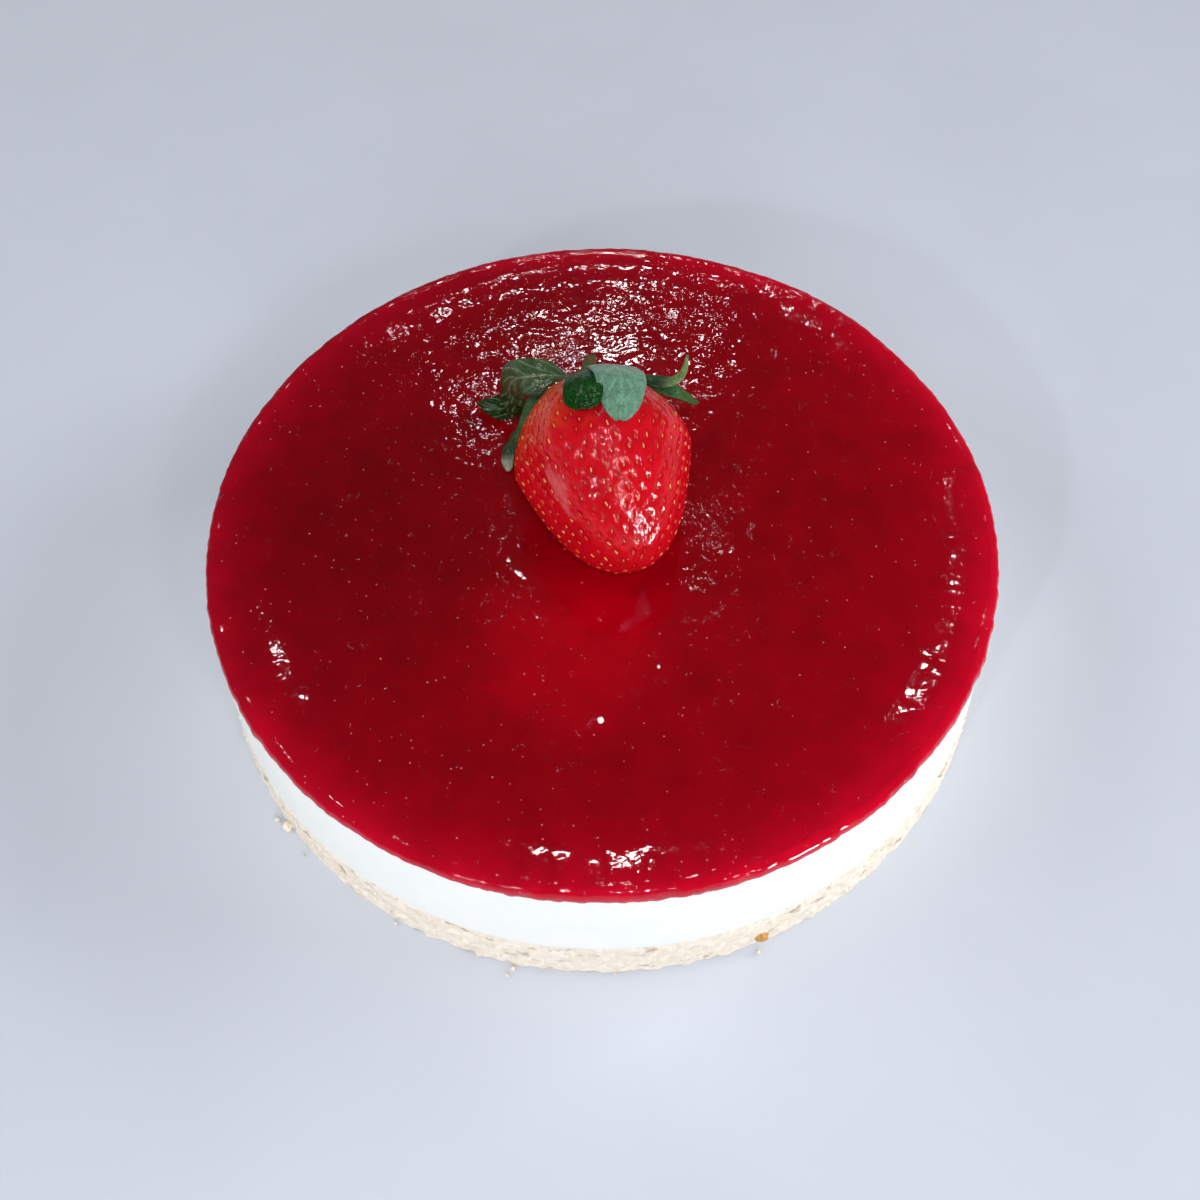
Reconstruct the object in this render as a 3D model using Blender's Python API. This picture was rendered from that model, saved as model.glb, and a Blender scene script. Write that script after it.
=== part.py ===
"""Strawberry cheesecake: a whole round cake of three layers with one strawberry lying on its middle.

Units are metres, +Z is up, and the origin is the middle of the cake's underside. The strawberry's
tip points towards -Y and its leaves towards +Y.
"""
import math
import random
from typing import NamedTuple

import bmesh
import bpy
from mathutils import Matrix, Vector, noise
from mathutils.bvhtree import BVHTree

MM = 0.001

# The cake: its widest place is the jelly's edge, 200 mm across
CAKE_RADIUS = 100 * MM
FOOT_RADIUS = 1.042 * CAKE_RADIUS
BISCUIT_TOP = 13.6 * MM
CREAM_TOP = 40 * MM
JELLY_TOP = 42.9 * MM
JELLY_CREST = 43.9 * MM
LAYER_GAP = 0.3 * MM

# Every layer is turned in the same steps, so that the faces they share run alike
TURN_STEPS = 132
FLAT_RADIUS = 0.95 * CAKE_RADIUS

# Unevenness of the layers
LINE_WAVE = 0.9 * MM
COARSE_CRUMBS = 9
COARSE_RELIEF = 0.68 * MM
FINE_CRUMBS = 24
FINE_RELIEF = 0.82 * MM
CREAM_WAVE = 0.25 * MM
JELLY_EDGE_WAVE = 0.45 * MM
JELLY_DROOP = 1.1 * MM

# The strawberry: its length and the radius of its widest place, and how it lies
BERRY_LENGTH = 49.6 * MM
BERRY_RADIUS = 23.1 * MM
BERRY_WIDEST = 0.59
FLANK_SHARE = 0.66
TIP_BEND = 2.8 * MM
FLAT_SIDE_DEPTH = 0.16
RIDGE_HEIGHT = 0.014
BERRY_TILT = math.radians(18)
BERRY_YAW = math.radians(9.7)
BERRY_TIP = Vector((4.5, -24.4, 54.0)) * MM
BERRY_STEPS = 32
BERRY_RINGS = 18

# The seeds on the strawberry: half as wide, long and thick as real ones, and their spacing
SEED_HALF_SIZE = (0.55 * MM, 0.95 * MM, 0.45 * MM)
SEED_SPACING = 7.9 * MM
SEED_RAISE = -0.12 * MM
SEED_CLEAR = 1.6 * MM

# The leaves, the disc that they grow from, and the stalk
LEAF_THICKNESS = 0.7 * MM
LEAF_CLEAR = 0.95 * MM
CLEARING_ROUNDS = 8
FOOT_SHARE = 0.42
TIP_SHARE = 0.1
LEAF_STEPS_ALONG = 9
LEAF_STEPS_ACROSS = 4
HUB_PLACE = (0.8, 49.4, 0)
HUB_HALF_SIZE = (4.8, 1.1, 4.8)
STALK_ROUTE = ((0.9, 49.8, 0), (1.3, 52.5, 0.1), (2.4, 55.7, 0.4))
STALK_RADIUS = 1.75 * MM
STALK_STEPS = 5
STALK_SIDES = 10

RANDOM_SEED = 7


class Leaf(NamedTuple):
    """One leaf, in millimetres in the strawberry's own frame: right, along to the stalk, up.

    The route's places run along the leaf's middle from the disc to its end, and the faces are the
    ways that its upper side looks on the way. It has its full width at the widest share of its
    length. A high bluntness gives a square end, and a low one a point. The cup lowers its long edges.
    """

    route: tuple
    faces: tuple
    half_width: float
    widest: float
    bluntness: float
    cup: float
    crinkle: float


LEAVES = (
    # The two broad leaves that fold forwards over the shoulder
    Leaf(
        ((-0.4, 49.3, 1.5), (-0.4, 48.6, 8), (-1, 46, 14.5), (-2.6, 41, 20.5), (-4.4, 32.4, 24.2)),
        ((0, 1, 0.2), (-0.1, 0.8, 0.6), (-0.17, 0.1, 1)),
        4.9, 1.2, 12, 0.4, 0.25,
    ),
    Leaf(
        ((2, 49.3, 2), (4, 48.6, 8), (5.6, 46, 14.5), (6, 40, 21), (3.6, 28.2, 24.4)),
        ((0.1, 1, 0.2), (0.2, 0.8, 0.6), (0.17, 0.1, 1)),
        6.2, 0.5, 4, 0.6, 0.25,
    ),
    # The narrow leaf on the right that curls up at its end, and the one that drops beside it
    Leaf(
        (
            (2.8, 49.6, 1.2), (8, 48.4, 3.8), (13.2, 46, 5), (18.4, 43.6, 6.6), (22, 43.8, 8.6),
            (23.4, 46, 13.6),
        ),
        ((0, 0.9, 0.5), (0.1, 0.4, 0.9), (-0.5, -0.2, 0.8)),
        2.4, 0.4, 1.2, 0.7, 0.2,
    ),
    Leaf(
        ((2.6, 49.6, -0.6), (10, 48.2, 2), (18.7, 45, 2), (23.6, 44.2, -2), (29.3, 44.8, -12.4)),
        ((0, 1, 0.2), (0.2, 0.3, 0.9), (0.4, 0, 0.9)),
        3.1, 0.6, 2.4, 0.5, 0.3,
    ),
    # The large leaf on the left, which folds down and ends spread on the jelly
    Leaf(
        (
            (-0.8, 49.8, 1.6), (-7, 49.6, 5.4), (-14.6, 50.6, 5.2), (-17.4, 53, -1.5),
            (-18.2, 54.4, -14), (-20.4, 56.4, -25), (-25.4, 61.2, -30),
        ),
        ((0, 0.95, 0.5), (-0.1, -0.3, 0.95), (-0.7, -0.4, 0.6), (-0.9, -0.5, 0.1), (-0.3, -0.3, 0.9)),
        4.4, 0.35, 3, 0.9, 0.8,
    ),
    # The leaves down the left side, the lower one with its end on the jelly
    Leaf(
        ((-1.4, 49.6, -0.4), (-9.3, 48.8, -1), (-14.4, 48, -5), (-18.8, 41.6, -13)),
        ((0, 1, 0), (-0.4, 0.4, 0.7), (-0.8, 0.2, 0.5)),
        2.9, 0.5, 1.5, 0.5, 0.3,
    ),
    Leaf(
        ((-1.2, 49.5, -1.6), (-8, 51.5, -10), (-16, 49, -19), (-20.6, 43.6, -23), (-21.6, 38, -23)),
        ((0, 1, -0.2), (-0.5, 0.6, 0.5), (-0.3, 0.2, 0.9)),
        2.8, 0.5, 1.5, 0.5, 0.3,
    ),
    # The leaves behind, down to the jelly
    Leaf(
        ((1.6, 49.5, -1.6), (8, 51.5, -8), (14.5, 50, -17), (19.5, 46, -24)),
        ((0, 1, 0), (0.3, 0.9, 0.2), (0.5, 0.6, 0.4)),
        4.1, 0.5, 1.8, 0.6, 0.35,
    ),
    Leaf(
        ((0.3, 49.5, -2.2), (1.4, 52, -11), (0, 54, -20), (-3.5, 57, -28.5)),
        ((0, 1, -0.3), (0, 0.9, 0.3), (0, 0.4, 0.9)),
        4.3, 0.5, 1.8, 0.6, 0.35,
    ),
)


def clear_scene():
    """Removes what the file holds, so that only the cake is left."""
    for found in list(bpy.data.objects):
        bpy.data.objects.remove(found, do_unlink=True)


def linear(channel):
    """One sRGB channel, 0 to 255, as a linear value."""
    value = channel / 255
    if value <= 0.04045:
        return value / 12.92
    return ((value + 0.055) / 1.055) ** 2.4


def food_material(name, rgb, roughness):
    """A material with one sRGB colour and one roughness."""
    material = bpy.data.materials.new(name)
    material.use_nodes = True
    shader = material.node_tree.nodes["Principled BSDF"]
    shader.inputs["Base Color"].default_value = (*(linear(channel) for channel in rgb), 1)
    shader.inputs["Roughness"].default_value = roughness
    shader.inputs["Metallic"].default_value = 0
    return material


def new_object(name, form, material, sharp_degrees=40):
    """Turns a bmesh into a named object with its material, smooth apart from its sharp edges."""
    mesh = bpy.data.meshes.new(name)
    form.to_mesh(mesh)
    form.free()
    mesh.materials.append(material)
    mesh.shade_smooth()
    mesh.set_sharp_from_angle(angle=math.radians(sharp_degrees))
    made = bpy.data.objects.new(name, mesh)
    bpy.context.scene.collection.objects.link(made)
    return made


def bezier(points, share):
    """The point of a Bezier curve at a share of its way, by halving between its control points."""
    points = [Vector(point) for point in points]
    while len(points) > 1:
        points = [first.lerp(second, share) for first, second in zip(points, points[1:])]
    return points[0]


def through(points, share):
    """The point at a share of the way along a smooth curve that runs through all the points."""
    points = [Vector(point) for point in points]
    along = share * (len(points) - 1)
    start = min(int(along), len(points) - 2)
    rest = along - start
    second, third = points[start], points[start + 1]
    first = points[start - 1] if start else 2 * second - third
    fourth = points[start + 2] if start + 2 < len(points) else 2 * third - second
    bend = 2 * first - 5 * second + 4 * third - fourth
    twist = 3 * second - first - 3 * third + fourth
    return second + (rest * (third - first) + rest**2 * bend + rest**3 * twist) / 2


def ring_noise(angle, detail, offset):
    """Noise from -1 to 1 that runs round the cake and meets itself again, finer with more detail."""
    place = Vector((math.cos(angle) * detail, math.sin(angle) * detail, offset))
    return noise.noise(place)


def turned(profile, steps=TURN_STEPS):
    """Spins a profile of (radius, height) points round +Z into a closed body.

    The profile runs from the underside outwards and up to the top. Both ends stop at a flat face.
    """
    form = bmesh.new()
    corners = [form.verts.new((radius, 0, height)) for radius, height in profile]
    edges = [form.edges.new(pair) for pair in zip(corners, corners[1:])]
    bmesh.ops.spin(
        form,
        geom=corners + edges,
        cent=(0, 0, 0),
        axis=(0, 0, 1),
        angle=math.tau,
        steps=steps,
        use_merge=True,
    )
    bmesh.ops.remove_doubles(form, verts=form.verts[:], dist=0.001 * MM)
    open_edges = [edge for edge in form.edges if edge.is_boundary]
    bmesh.ops.holes_fill(form, edges=open_edges, sides=0)
    bmesh.ops.recalc_face_normals(form, faces=form.faces[:])
    return form


def rim_share(radius):
    """0 on the layers' flat middle and 1 at the rim."""
    return min(1, max(0, (radius - FLAT_RADIUS) / (0.98 * CAKE_RADIUS - FLAT_RADIUS)))


def line_share(height):
    """1 at the line between biscuit and cream, falling to 0 at the faces below and above it."""
    if height < BISCUIT_TOP:
        return height / BISCUIT_TOP
    return max(0, 1 - (height - BISCUIT_TOP - LAYER_GAP) / (CREAM_TOP - BISCUIT_TOP) * 1.6)


def line_shift(point):
    """How far the uneven line between biscuit and cream lifts or lowers a point near the rim."""
    angle = math.atan2(point.y, point.x)
    radius = math.hypot(point.x, point.y)
    wave = ring_noise(angle, 2.6, 3.1) + 0.55 * ring_noise(angle, 7.0, 8.7)
    return LINE_WAVE * wave * rim_share(radius) * line_share(point.z)


def push_outwards(point, distance):
    """Moves a point away from the cake's axis."""
    radius = math.hypot(point.x, point.y)
    point.x *= 1 + distance / radius
    point.y *= 1 + distance / radius


def make_biscuit_base(material):
    """The pressed biscuit crumb base, with a ragged side."""
    profile = [
        (0.99 * FOOT_RADIUS, 0),
        (FOOT_RADIUS, 0.8 * MM),
        (FOOT_RADIUS, 3.4 * MM),
        (0.996 * FOOT_RADIUS, 6.6 * MM),
        (0.992 * FOOT_RADIUS, 9.8 * MM),
        (0.987 * FOOT_RADIUS, 12.4 * MM),
        (0.981 * FOOT_RADIUS, BISCUIT_TOP),
        (FLAT_RADIUS, BISCUIT_TOP),
    ]
    form = turned(profile)
    for corner in form.verts:
        angle = math.atan2(corner.co.y, corner.co.x)
        if math.hypot(corner.co.x, corner.co.y) > 0.98 * CAKE_RADIUS:
            coarse = COARSE_RELIEF * ring_noise(angle, COARSE_CRUMBS, corner.co.z / FOOT_RADIUS * COARSE_CRUMBS)
            fine = FINE_RELIEF * ring_noise(angle, FINE_CRUMBS, corner.co.z / FOOT_RADIUS * FINE_CRUMBS)
            push_outwards(corner.co, coarse + fine)
        corner.co.z += line_shift(corner.co)
    return new_object("biscuit_base", form, material)


def make_cream_layer(material):
    """The set cream cheese layer, smooth, a little narrower at the top than at the foot."""
    foot = BISCUIT_TOP + LAYER_GAP
    profile = [
        (FLAT_RADIUS, foot),
        (1.016 * CAKE_RADIUS, foot),
        (1.0225 * CAKE_RADIUS, foot + 0.8 * MM),
        (1.0085 * CAKE_RADIUS, foot + 0.48 * (CREAM_TOP - foot)),
        (0.988 * CAKE_RADIUS, CREAM_TOP - 0.9 * MM),
        (0.981 * CAKE_RADIUS, CREAM_TOP),
        (FLAT_RADIUS, CREAM_TOP),
    ]
    form = turned(profile)
    for corner in form.verts:
        angle = math.atan2(corner.co.y, corner.co.x)
        middle = math.sin(math.pi * (corner.co.z - foot) / (CREAM_TOP - foot))
        push_outwards(corner.co, CREAM_WAVE * middle * ring_noise(angle, 3.5, 5.5))
        corner.co.z += line_shift(corner.co)
    return new_object("cream_layer", form, material)


def make_jelly_slab(material):
    """The strawberry jelly with its raised, rounded rim, before the strawberry is pressed in."""
    floor = CREAM_TOP + LAYER_GAP
    profile = [
        (FLAT_RADIUS, floor),
        (0.9895 * CAKE_RADIUS, floor),
        (0.9945 * CAKE_RADIUS, floor - 0.5 * MM),
        (CAKE_RADIUS, floor + 0.9 * MM),
        (0.9965 * CAKE_RADIUS, floor + 2.3 * MM),
        (0.986 * CAKE_RADIUS, JELLY_CREST - 0.4 * MM),
        (0.966 * CAKE_RADIUS, JELLY_CREST),
        (0.936 * CAKE_RADIUS, JELLY_CREST - 0.25 * MM),
        (0.890 * CAKE_RADIUS, JELLY_TOP + 0.28 * MM),
        (0.830 * CAKE_RADIUS, JELLY_TOP),
    ]
    form = turned(profile)
    for corner in form.verts:
        angle = math.atan2(corner.co.y, corner.co.x)
        radius = math.hypot(corner.co.x, corner.co.y)
        outer = max(0, (radius - 0.991 * CAKE_RADIUS) / (0.009 * CAKE_RADIUS))
        if corner.co.z < floor + 0.1 * MM and outer > 0:
            droop = max(0, ring_noise(angle, 5.0, 1.7) + 0.5 * ring_noise(angle, 17, 4.2) + 0.3)
            corner.co.z -= JELLY_DROOP * droop
        if outer > 0:
            wave = 0.7 * ring_noise(angle, 2.2, 6.3) + 0.5 * ring_noise(angle, 8, 2.9)
            push_outwards(corner.co, JELLY_EDGE_WAVE * wave * min(1, outer))
    return new_object("strawberry_jelly", form, material)


def berry_matrix():
    """The strawberry's frame: +X to its right, +Y from tip to stalk, +Z its upper side."""
    right = Vector((math.cos(BERRY_YAW), math.sin(BERRY_YAW), 0))
    level_axis = Vector((-math.sin(BERRY_YAW), math.cos(BERRY_YAW), 0))
    axis = level_axis * math.cos(BERRY_TILT) + Vector((0, 0, math.sin(BERRY_TILT)))
    upper = right.cross(axis)
    turn = Matrix((right, axis, upper)).transposed().to_4x4()
    return Matrix.Translation(BERRY_TIP) @ turn


def berry_profile(share):
    """(distance from the tip, radius) at a share of the way from the tip round to the stalk's dip."""
    flank = [(0, 0, 0), (-0.010, 0.663, 0), (0.553, 0.96, 0), (BERRY_WIDEST, 1, 0)]
    shoulder = [(BERRY_WIDEST, 1, 0), (0.81, 1.03, 0), (1.03, 0.31, 0), (0.985, 0.33, 0), (0.93, 0, 0)]
    if share < FLANK_SHARE:
        point = bezier(flank, share / FLANK_SHARE)
    else:
        point = bezier(shoulder, (share - FLANK_SHARE) / (1 - FLANK_SHARE))
    return point.x * BERRY_LENGTH, point.y * BERRY_RADIUS


def skin_point(turned_point):
    """Moves a point of the turned strawberry to the real one's uneven cross-section and bent tip."""
    along = min(1, max(0, turned_point.y / BERRY_LENGTH))
    angle = math.atan2(turned_point.x, turned_point.z)
    belly = math.sin(math.pi * along)
    flat_left = math.exp(-(((angle + math.radians(68)) / 0.55) ** 2))
    ridge = math.exp(-(((angle + math.radians(34)) / 0.22) ** 2))
    swell = 0.018 * math.cos(2 * angle + 0.6) + 0.012 * math.cos(3 * angle - 1.1)
    factor = 1 + belly * (swell - FLAT_SIDE_DEPTH * flat_left + RIDGE_HEIGHT * ridge)
    bend = TIP_BEND * (1 - along) ** 2
    return Vector((turned_point.x * factor + bend, turned_point.y, turned_point.z * factor))


def berry_place(share, angle):
    """A place on the strawberry's skin in the cake's frame. The angle runs from its top to its right."""
    along, radius = berry_profile(share)
    turned_point = Vector((radius * math.sin(angle), along, radius * math.cos(angle)))
    return berry_matrix() @ skin_point(turned_point)


def berry_core(grow=0.0):
    """The strawberry's body without seeds, in the cake's frame, grown outwards by a distance."""
    form = bmesh.new()
    outline = []
    for ring in range(BERRY_RINGS + 1):
        along, radius = berry_profile(ring / BERRY_RINGS)
        outline.append(form.verts.new((0, along, radius)))
    edges = [form.edges.new(pair) for pair in zip(outline, outline[1:])]
    bmesh.ops.spin(
        form,
        geom=outline + edges,
        cent=(0, 0, 0),
        axis=(0, 1, 0),
        angle=math.tau,
        steps=BERRY_STEPS,
        use_merge=True,
    )
    bmesh.ops.remove_doubles(form, verts=form.verts[:], dist=0.001 * MM)
    bmesh.ops.recalc_face_normals(form, faces=form.faces[:])
    for corner in form.verts:
        corner.co = skin_point(corner.co)
    bmesh.ops.transform(form, matrix=berry_matrix(), verts=form.verts[:])
    form.normal_update()
    for corner, normal in [(corner, corner.normal.copy()) for corner in form.verts]:
        corner.co += normal * grow
    form.normal_update()
    return form


def leaf_half_width(leaf, share):
    """Half the leaf's width at a share of its length, narrow at its foot and rounded at its end."""
    swell = FOOT_SHARE + (1 - FOOT_SHARE) * math.sin(math.pi / 2 * min(1, share / leaf.widest))
    past = max(0, (share - 0.5) / 0.5)
    return leaf.half_width * max(TIP_SHARE, swell * (1 - past**leaf.bluntness) ** 0.6)


def leaf_frame(leaf, share):
    """The leaf's middle place, the way across it and the way out of its upper side."""
    step = 0.02
    ahead = through(leaf.route, min(1, share + step)) - through(leaf.route, max(0, share - step))
    across = ahead.cross(through(leaf.faces, share)).normalized()
    return through(leaf.route, share), across, across.cross(ahead).normalized()


def leaf_sheet(leaf, number, skin):
    """The leaf's middle surface as a triangulated grid, held clear of the strawberry and the jelly."""
    form = bmesh.new()
    bmesh.ops.create_grid(form, x_segments=LEAF_STEPS_ACROSS, y_segments=LEAF_STEPS_ALONG, size=1)
    for corner in form.verts:
        side = corner.co.x
        share = math.sin(math.pi / 4 * (corner.co.y + 1)) * 0.995
        middle, across, out = leaf_frame(leaf, share)
        half_width = leaf_half_width(leaf, share)
        ripple = math.sin(9.5 * share + 2.1 * number) * side + 0.6 * math.sin(17 * share + number)
        rise = leaf.crinkle * share * ripple - leaf.cup * side * side * min(1, 3 * share)
        place = (middle + across * side * half_width + out * rise) * MM
        corner.co = keep_clear(berry_matrix() @ place, skin)
    bmesh.ops.triangulate(form, faces=form.faces[:])
    return form


def keep_clear(place, skin):
    """Moves a place out of the strawberry's skin and up off the jelly, as far as a leaf needs."""
    for _ in range(CLEARING_ROUNDS):
        place.z = max(place.z, JELLY_TOP + LEAF_CLEAR)
        found, normal, _, _ = skin.find_nearest(place)
        depth = LEAF_CLEAR - (place - found).dot(normal)
        if depth > 0:
            place = place + Vector((normal.x, normal.y, max(0, normal.z))) * depth
    return place


def applied(made):
    """Gives an object the mesh that its modifiers make, and removes them."""
    evaluated = made.evaluated_get(bpy.context.evaluated_depsgraph_get())
    mesh = bpy.data.meshes.new_from_object(evaluated)
    made.modifiers.clear()
    made.data = mesh
    return made


def union_of(body, pieces, solver="EXACT"):
    """Joins the pieces to the body with one Boolean union, and removes them."""
    group = bpy.data.collections.new(f"{body.name} pieces")
    bpy.context.scene.collection.children.link(group)
    for piece in pieces:
        group.objects.link(piece)
    join = body.modifiers.new("join", "BOOLEAN")
    join.operation = "UNION"
    join.solver = solver
    join.operand_type = "COLLECTION"
    join.collection = group
    applied(body)
    for piece in pieces:
        bpy.data.objects.remove(piece, do_unlink=True)
    bpy.data.collections.remove(group)
    return body


def make_calyx(leaf_material, skin):
    """The leaves, the disc that they grow from and the cut stalk, as one piece."""
    form = bmesh.new()
    bmesh.ops.create_uvsphere(form, u_segments=16, v_segments=6, radius=MM)
    bmesh.ops.rotate(form, verts=form.verts[:], matrix=Matrix.Rotation(math.pi / 2, 3, "X"))
    bmesh.ops.scale(form, verts=form.verts[:], vec=HUB_HALF_SIZE)
    bmesh.ops.translate(form, verts=form.verts[:], vec=Vector(HUB_PLACE) * MM)
    bmesh.ops.transform(form, verts=form.verts[:], matrix=berry_matrix())
    calyx = new_object("strawberry_calyx", form, leaf_material)
    pieces = [make_stalk(leaf_material)]
    for number, leaf in enumerate(LEAVES):
        sheet = new_object(f"leaf {number}", leaf_sheet(leaf, number, skin), leaf_material)
        thicken = sheet.modifiers.new("thickness", "SOLIDIFY")
        thicken.thickness = LEAF_THICKNESS
        thicken.offset = 0
        pieces.append(applied(sheet))
    return union_of(calyx, pieces, solver="MANIFOLD")


def make_stalk(material):
    """The short cut stalk, a tapering tube along its route."""
    form = bmesh.new()
    rings = []
    for ring in range(STALK_STEPS + 1):
        share = ring / STALK_STEPS
        middle = bezier(STALK_ROUTE, share) * MM
        radius = STALK_RADIUS * (1.25 - 0.35 * share)
        made = bmesh.ops.create_circle(form, segments=STALK_SIDES, radius=radius)["verts"]
        turn = Matrix.Translation(middle) @ Matrix.Rotation(-math.pi / 2, 4, "X")
        bmesh.ops.transform(form, verts=made, matrix=berry_matrix() @ turn)
        rings.append(made)
    edges = [[edge for edge in form.edges if set(edge.verts) <= set(ring)] for ring in rings]
    for lower, upper in zip(edges, edges[1:]):
        bmesh.ops.bridge_loops(form, edges=lower + upper)
    bmesh.ops.holes_fill(form, edges=[edge for edge in form.edges if edge.is_boundary], sides=0)
    bmesh.ops.recalc_face_normals(form, faces=form.faces[:])
    return new_object("stalk", form, material)


def seed_mesh(material):
    """One seed as a small long drop, to be copied."""
    form = bmesh.new()
    bmesh.ops.create_icosphere(form, subdivisions=1, radius=1)
    bmesh.ops.scale(form, verts=form.verts[:], vec=SEED_HALF_SIZE)
    mesh = bpy.data.meshes.new("seed")
    form.to_mesh(mesh)
    form.free()
    mesh.materials.append(material)
    return mesh


def seed_places():
    """(share, angle) of the seeds, in staggered rings round the strawberry."""
    rows = []
    length = 0
    last = Vector((0, 0))
    for step in range(1, 400):
        share = step / 400
        point = Vector(berry_profile(share))
        length += (point - last).length
        last = point
        if length >= SEED_SPACING * 0.85 * (len(rows) + 0.9):
            rows.append((share, point.y))
    places = []
    for row, (share, radius) in enumerate(rows):
        count = max(3, round(math.tau * radius / SEED_SPACING))
        for seed in range(count):
            places.append((share, math.tau * (seed + 0.5 * (row % 2)) / count))
    return places


def make_fruit(skin_material, skin, calyx):
    """The strawberry's flesh with its seeds joined to it, clear of the leaves and the jelly."""
    fruit = new_object("strawberry_fruit", berry_core(), skin_material)
    form = bmesh.new()
    form.from_mesh(calyx.data)
    leaves = BVHTree.FromBMesh(form)
    form.free()
    mesh = seed_mesh(skin_material)
    draw = random.Random(RANDOM_SEED)
    pieces = []
    for share, angle in seed_places():
        share = min(0.93, share + draw.uniform(-0.008, 0.008))
        angle += draw.uniform(-0.06, 0.06)
        place = berry_place(share, angle)
        found, normal, _, _ = skin.find_nearest(place)
        if found.z < JELLY_TOP + SEED_CLEAR or leaves.find_nearest(found)[3] < SEED_CLEAR:
            continue
        along = berry_place(share + 0.01, angle) - berry_place(share - 0.01, angle)
        across = along.cross(normal).normalized()
        turn = Matrix((across, normal.cross(across), normal)).transposed().to_4x4()
        seed = bpy.data.objects.new("seed", mesh)
        seed.matrix_world = Matrix.Translation(found + normal * SEED_RAISE) @ turn
        pieces.append(seed)
    return union_of(fruit, pieces)


def press_in_strawberry(jelly):
    """Cuts the hollow that the strawberry lies in from the jelly."""
    cutter = new_object("strawberry hollow", berry_core(grow=LAYER_GAP), jelly.data.materials[0])
    cut = jelly.modifiers.new("hollow", "BOOLEAN")
    cut.operation = "DIFFERENCE"
    cut.solver = "EXACT"
    cut.object = cutter
    applied(jelly)
    bpy.data.objects.remove(cutter, do_unlink=True)


def main():
    """Makes the five pieces of the cake."""
    clear_scene()
    biscuit = food_material("pressed biscuit crumb", (235, 217, 195), 0.9)
    cream = food_material("set cream cheese", (247, 251, 248), 0.45)
    jelly = food_material("strawberry jelly", (140, 3, 18), 0.12)
    skin_red = food_material("strawberry skin", (205, 22, 24), 0.25)
    leaf_green = food_material("strawberry leaf", (62, 104, 66), 0.55)
    make_biscuit_base(biscuit)
    make_cream_layer(cream)
    press_in_strawberry(make_jelly_slab(jelly))
    core = berry_core()
    skin = BVHTree.FromBMesh(core)
    core.free()
    calyx = make_calyx(leaf_green, skin)
    make_fruit(skin_red, skin, calyx)


main()
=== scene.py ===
"""Strawberry cheesecake: the finished look of a round chilled cake with one strawberry on its middle.

Everything is in metres in the cake's own frame: +Z is up, the origin is the middle of the underside,
and the strawberry's tip points towards -Y, to the front.
"""
import logging
import math
import random
from contextlib import contextmanager
from dataclasses import dataclass
from enum import Enum
from functools import partial
from typing import Any, Callable, Iterator, Sequence

import bpy
from mathutils import Matrix, Vector, kdtree, noise
from mathutils.bvhtree import BVHTree


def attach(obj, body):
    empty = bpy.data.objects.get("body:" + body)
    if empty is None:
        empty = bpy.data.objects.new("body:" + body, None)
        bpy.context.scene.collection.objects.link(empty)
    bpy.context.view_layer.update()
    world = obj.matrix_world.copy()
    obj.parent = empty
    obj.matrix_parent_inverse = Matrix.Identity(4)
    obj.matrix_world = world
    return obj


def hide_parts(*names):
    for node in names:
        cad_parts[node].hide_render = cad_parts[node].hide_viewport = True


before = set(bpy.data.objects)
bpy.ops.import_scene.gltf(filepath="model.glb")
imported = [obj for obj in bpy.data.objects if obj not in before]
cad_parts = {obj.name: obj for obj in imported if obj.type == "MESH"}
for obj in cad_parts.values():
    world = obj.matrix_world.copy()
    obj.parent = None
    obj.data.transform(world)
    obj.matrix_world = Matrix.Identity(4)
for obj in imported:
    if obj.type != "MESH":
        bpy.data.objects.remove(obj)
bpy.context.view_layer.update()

LOG = logging.getLogger("cheesecake")
MM = 0.001
BODY = "root"
MERGE = 0.0005 * MM

Piece = bpy.types.Object
Socket = bpy.types.NodeSocket
AddNode = Callable[..., Socket]
Inputs = dict[str | int, Any]
Spot = tuple[float, float]
Point = tuple[float, float, float]
Four = tuple[float, float, float, float]
Stops = tuple[tuple[float, str], ...]


class TurnAxis(Enum):
    """The axis that an outline is turned about."""

    UPRIGHT = "Z"
    FORWARDS = "Y"


class ReliefWay(Enum):
    """The direction that a relief goes in."""

    OUT = "NORMAL"
    UP = "Z"


def linear_rgba(code: str) -> Four:
    """Turns an sRGB hex colour into linear values.

    Args:
        code: the colour, such as "#74010D".

    Returns:
        Linear red, green and blue, and an alpha of 1.
    """
    channels = [int(code[place : place + 2], 16) / 255 for place in (1, 3, 5)]
    red, green, blue = (
        value / 12.92 if value <= 0.04045 else ((value + 0.055) / 1.055) ** 2.4 for value in channels
    )
    return red, green, blue, 1.0


def feed(tree: bpy.types.NodeTree, node: bpy.types.Node, inputs: Inputs) -> None:
    """Sets or links a node's inputs.

    Args:
        tree: the material's node tree.
        node: the node.
        inputs: for an input's name or number, its value or the output that feeds it.
    """
    for key, value in inputs.items():
        if isinstance(value, Socket):
            tree.links.new(value, node.inputs[key])
        else:
            node.inputs[key].default_value = value


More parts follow.
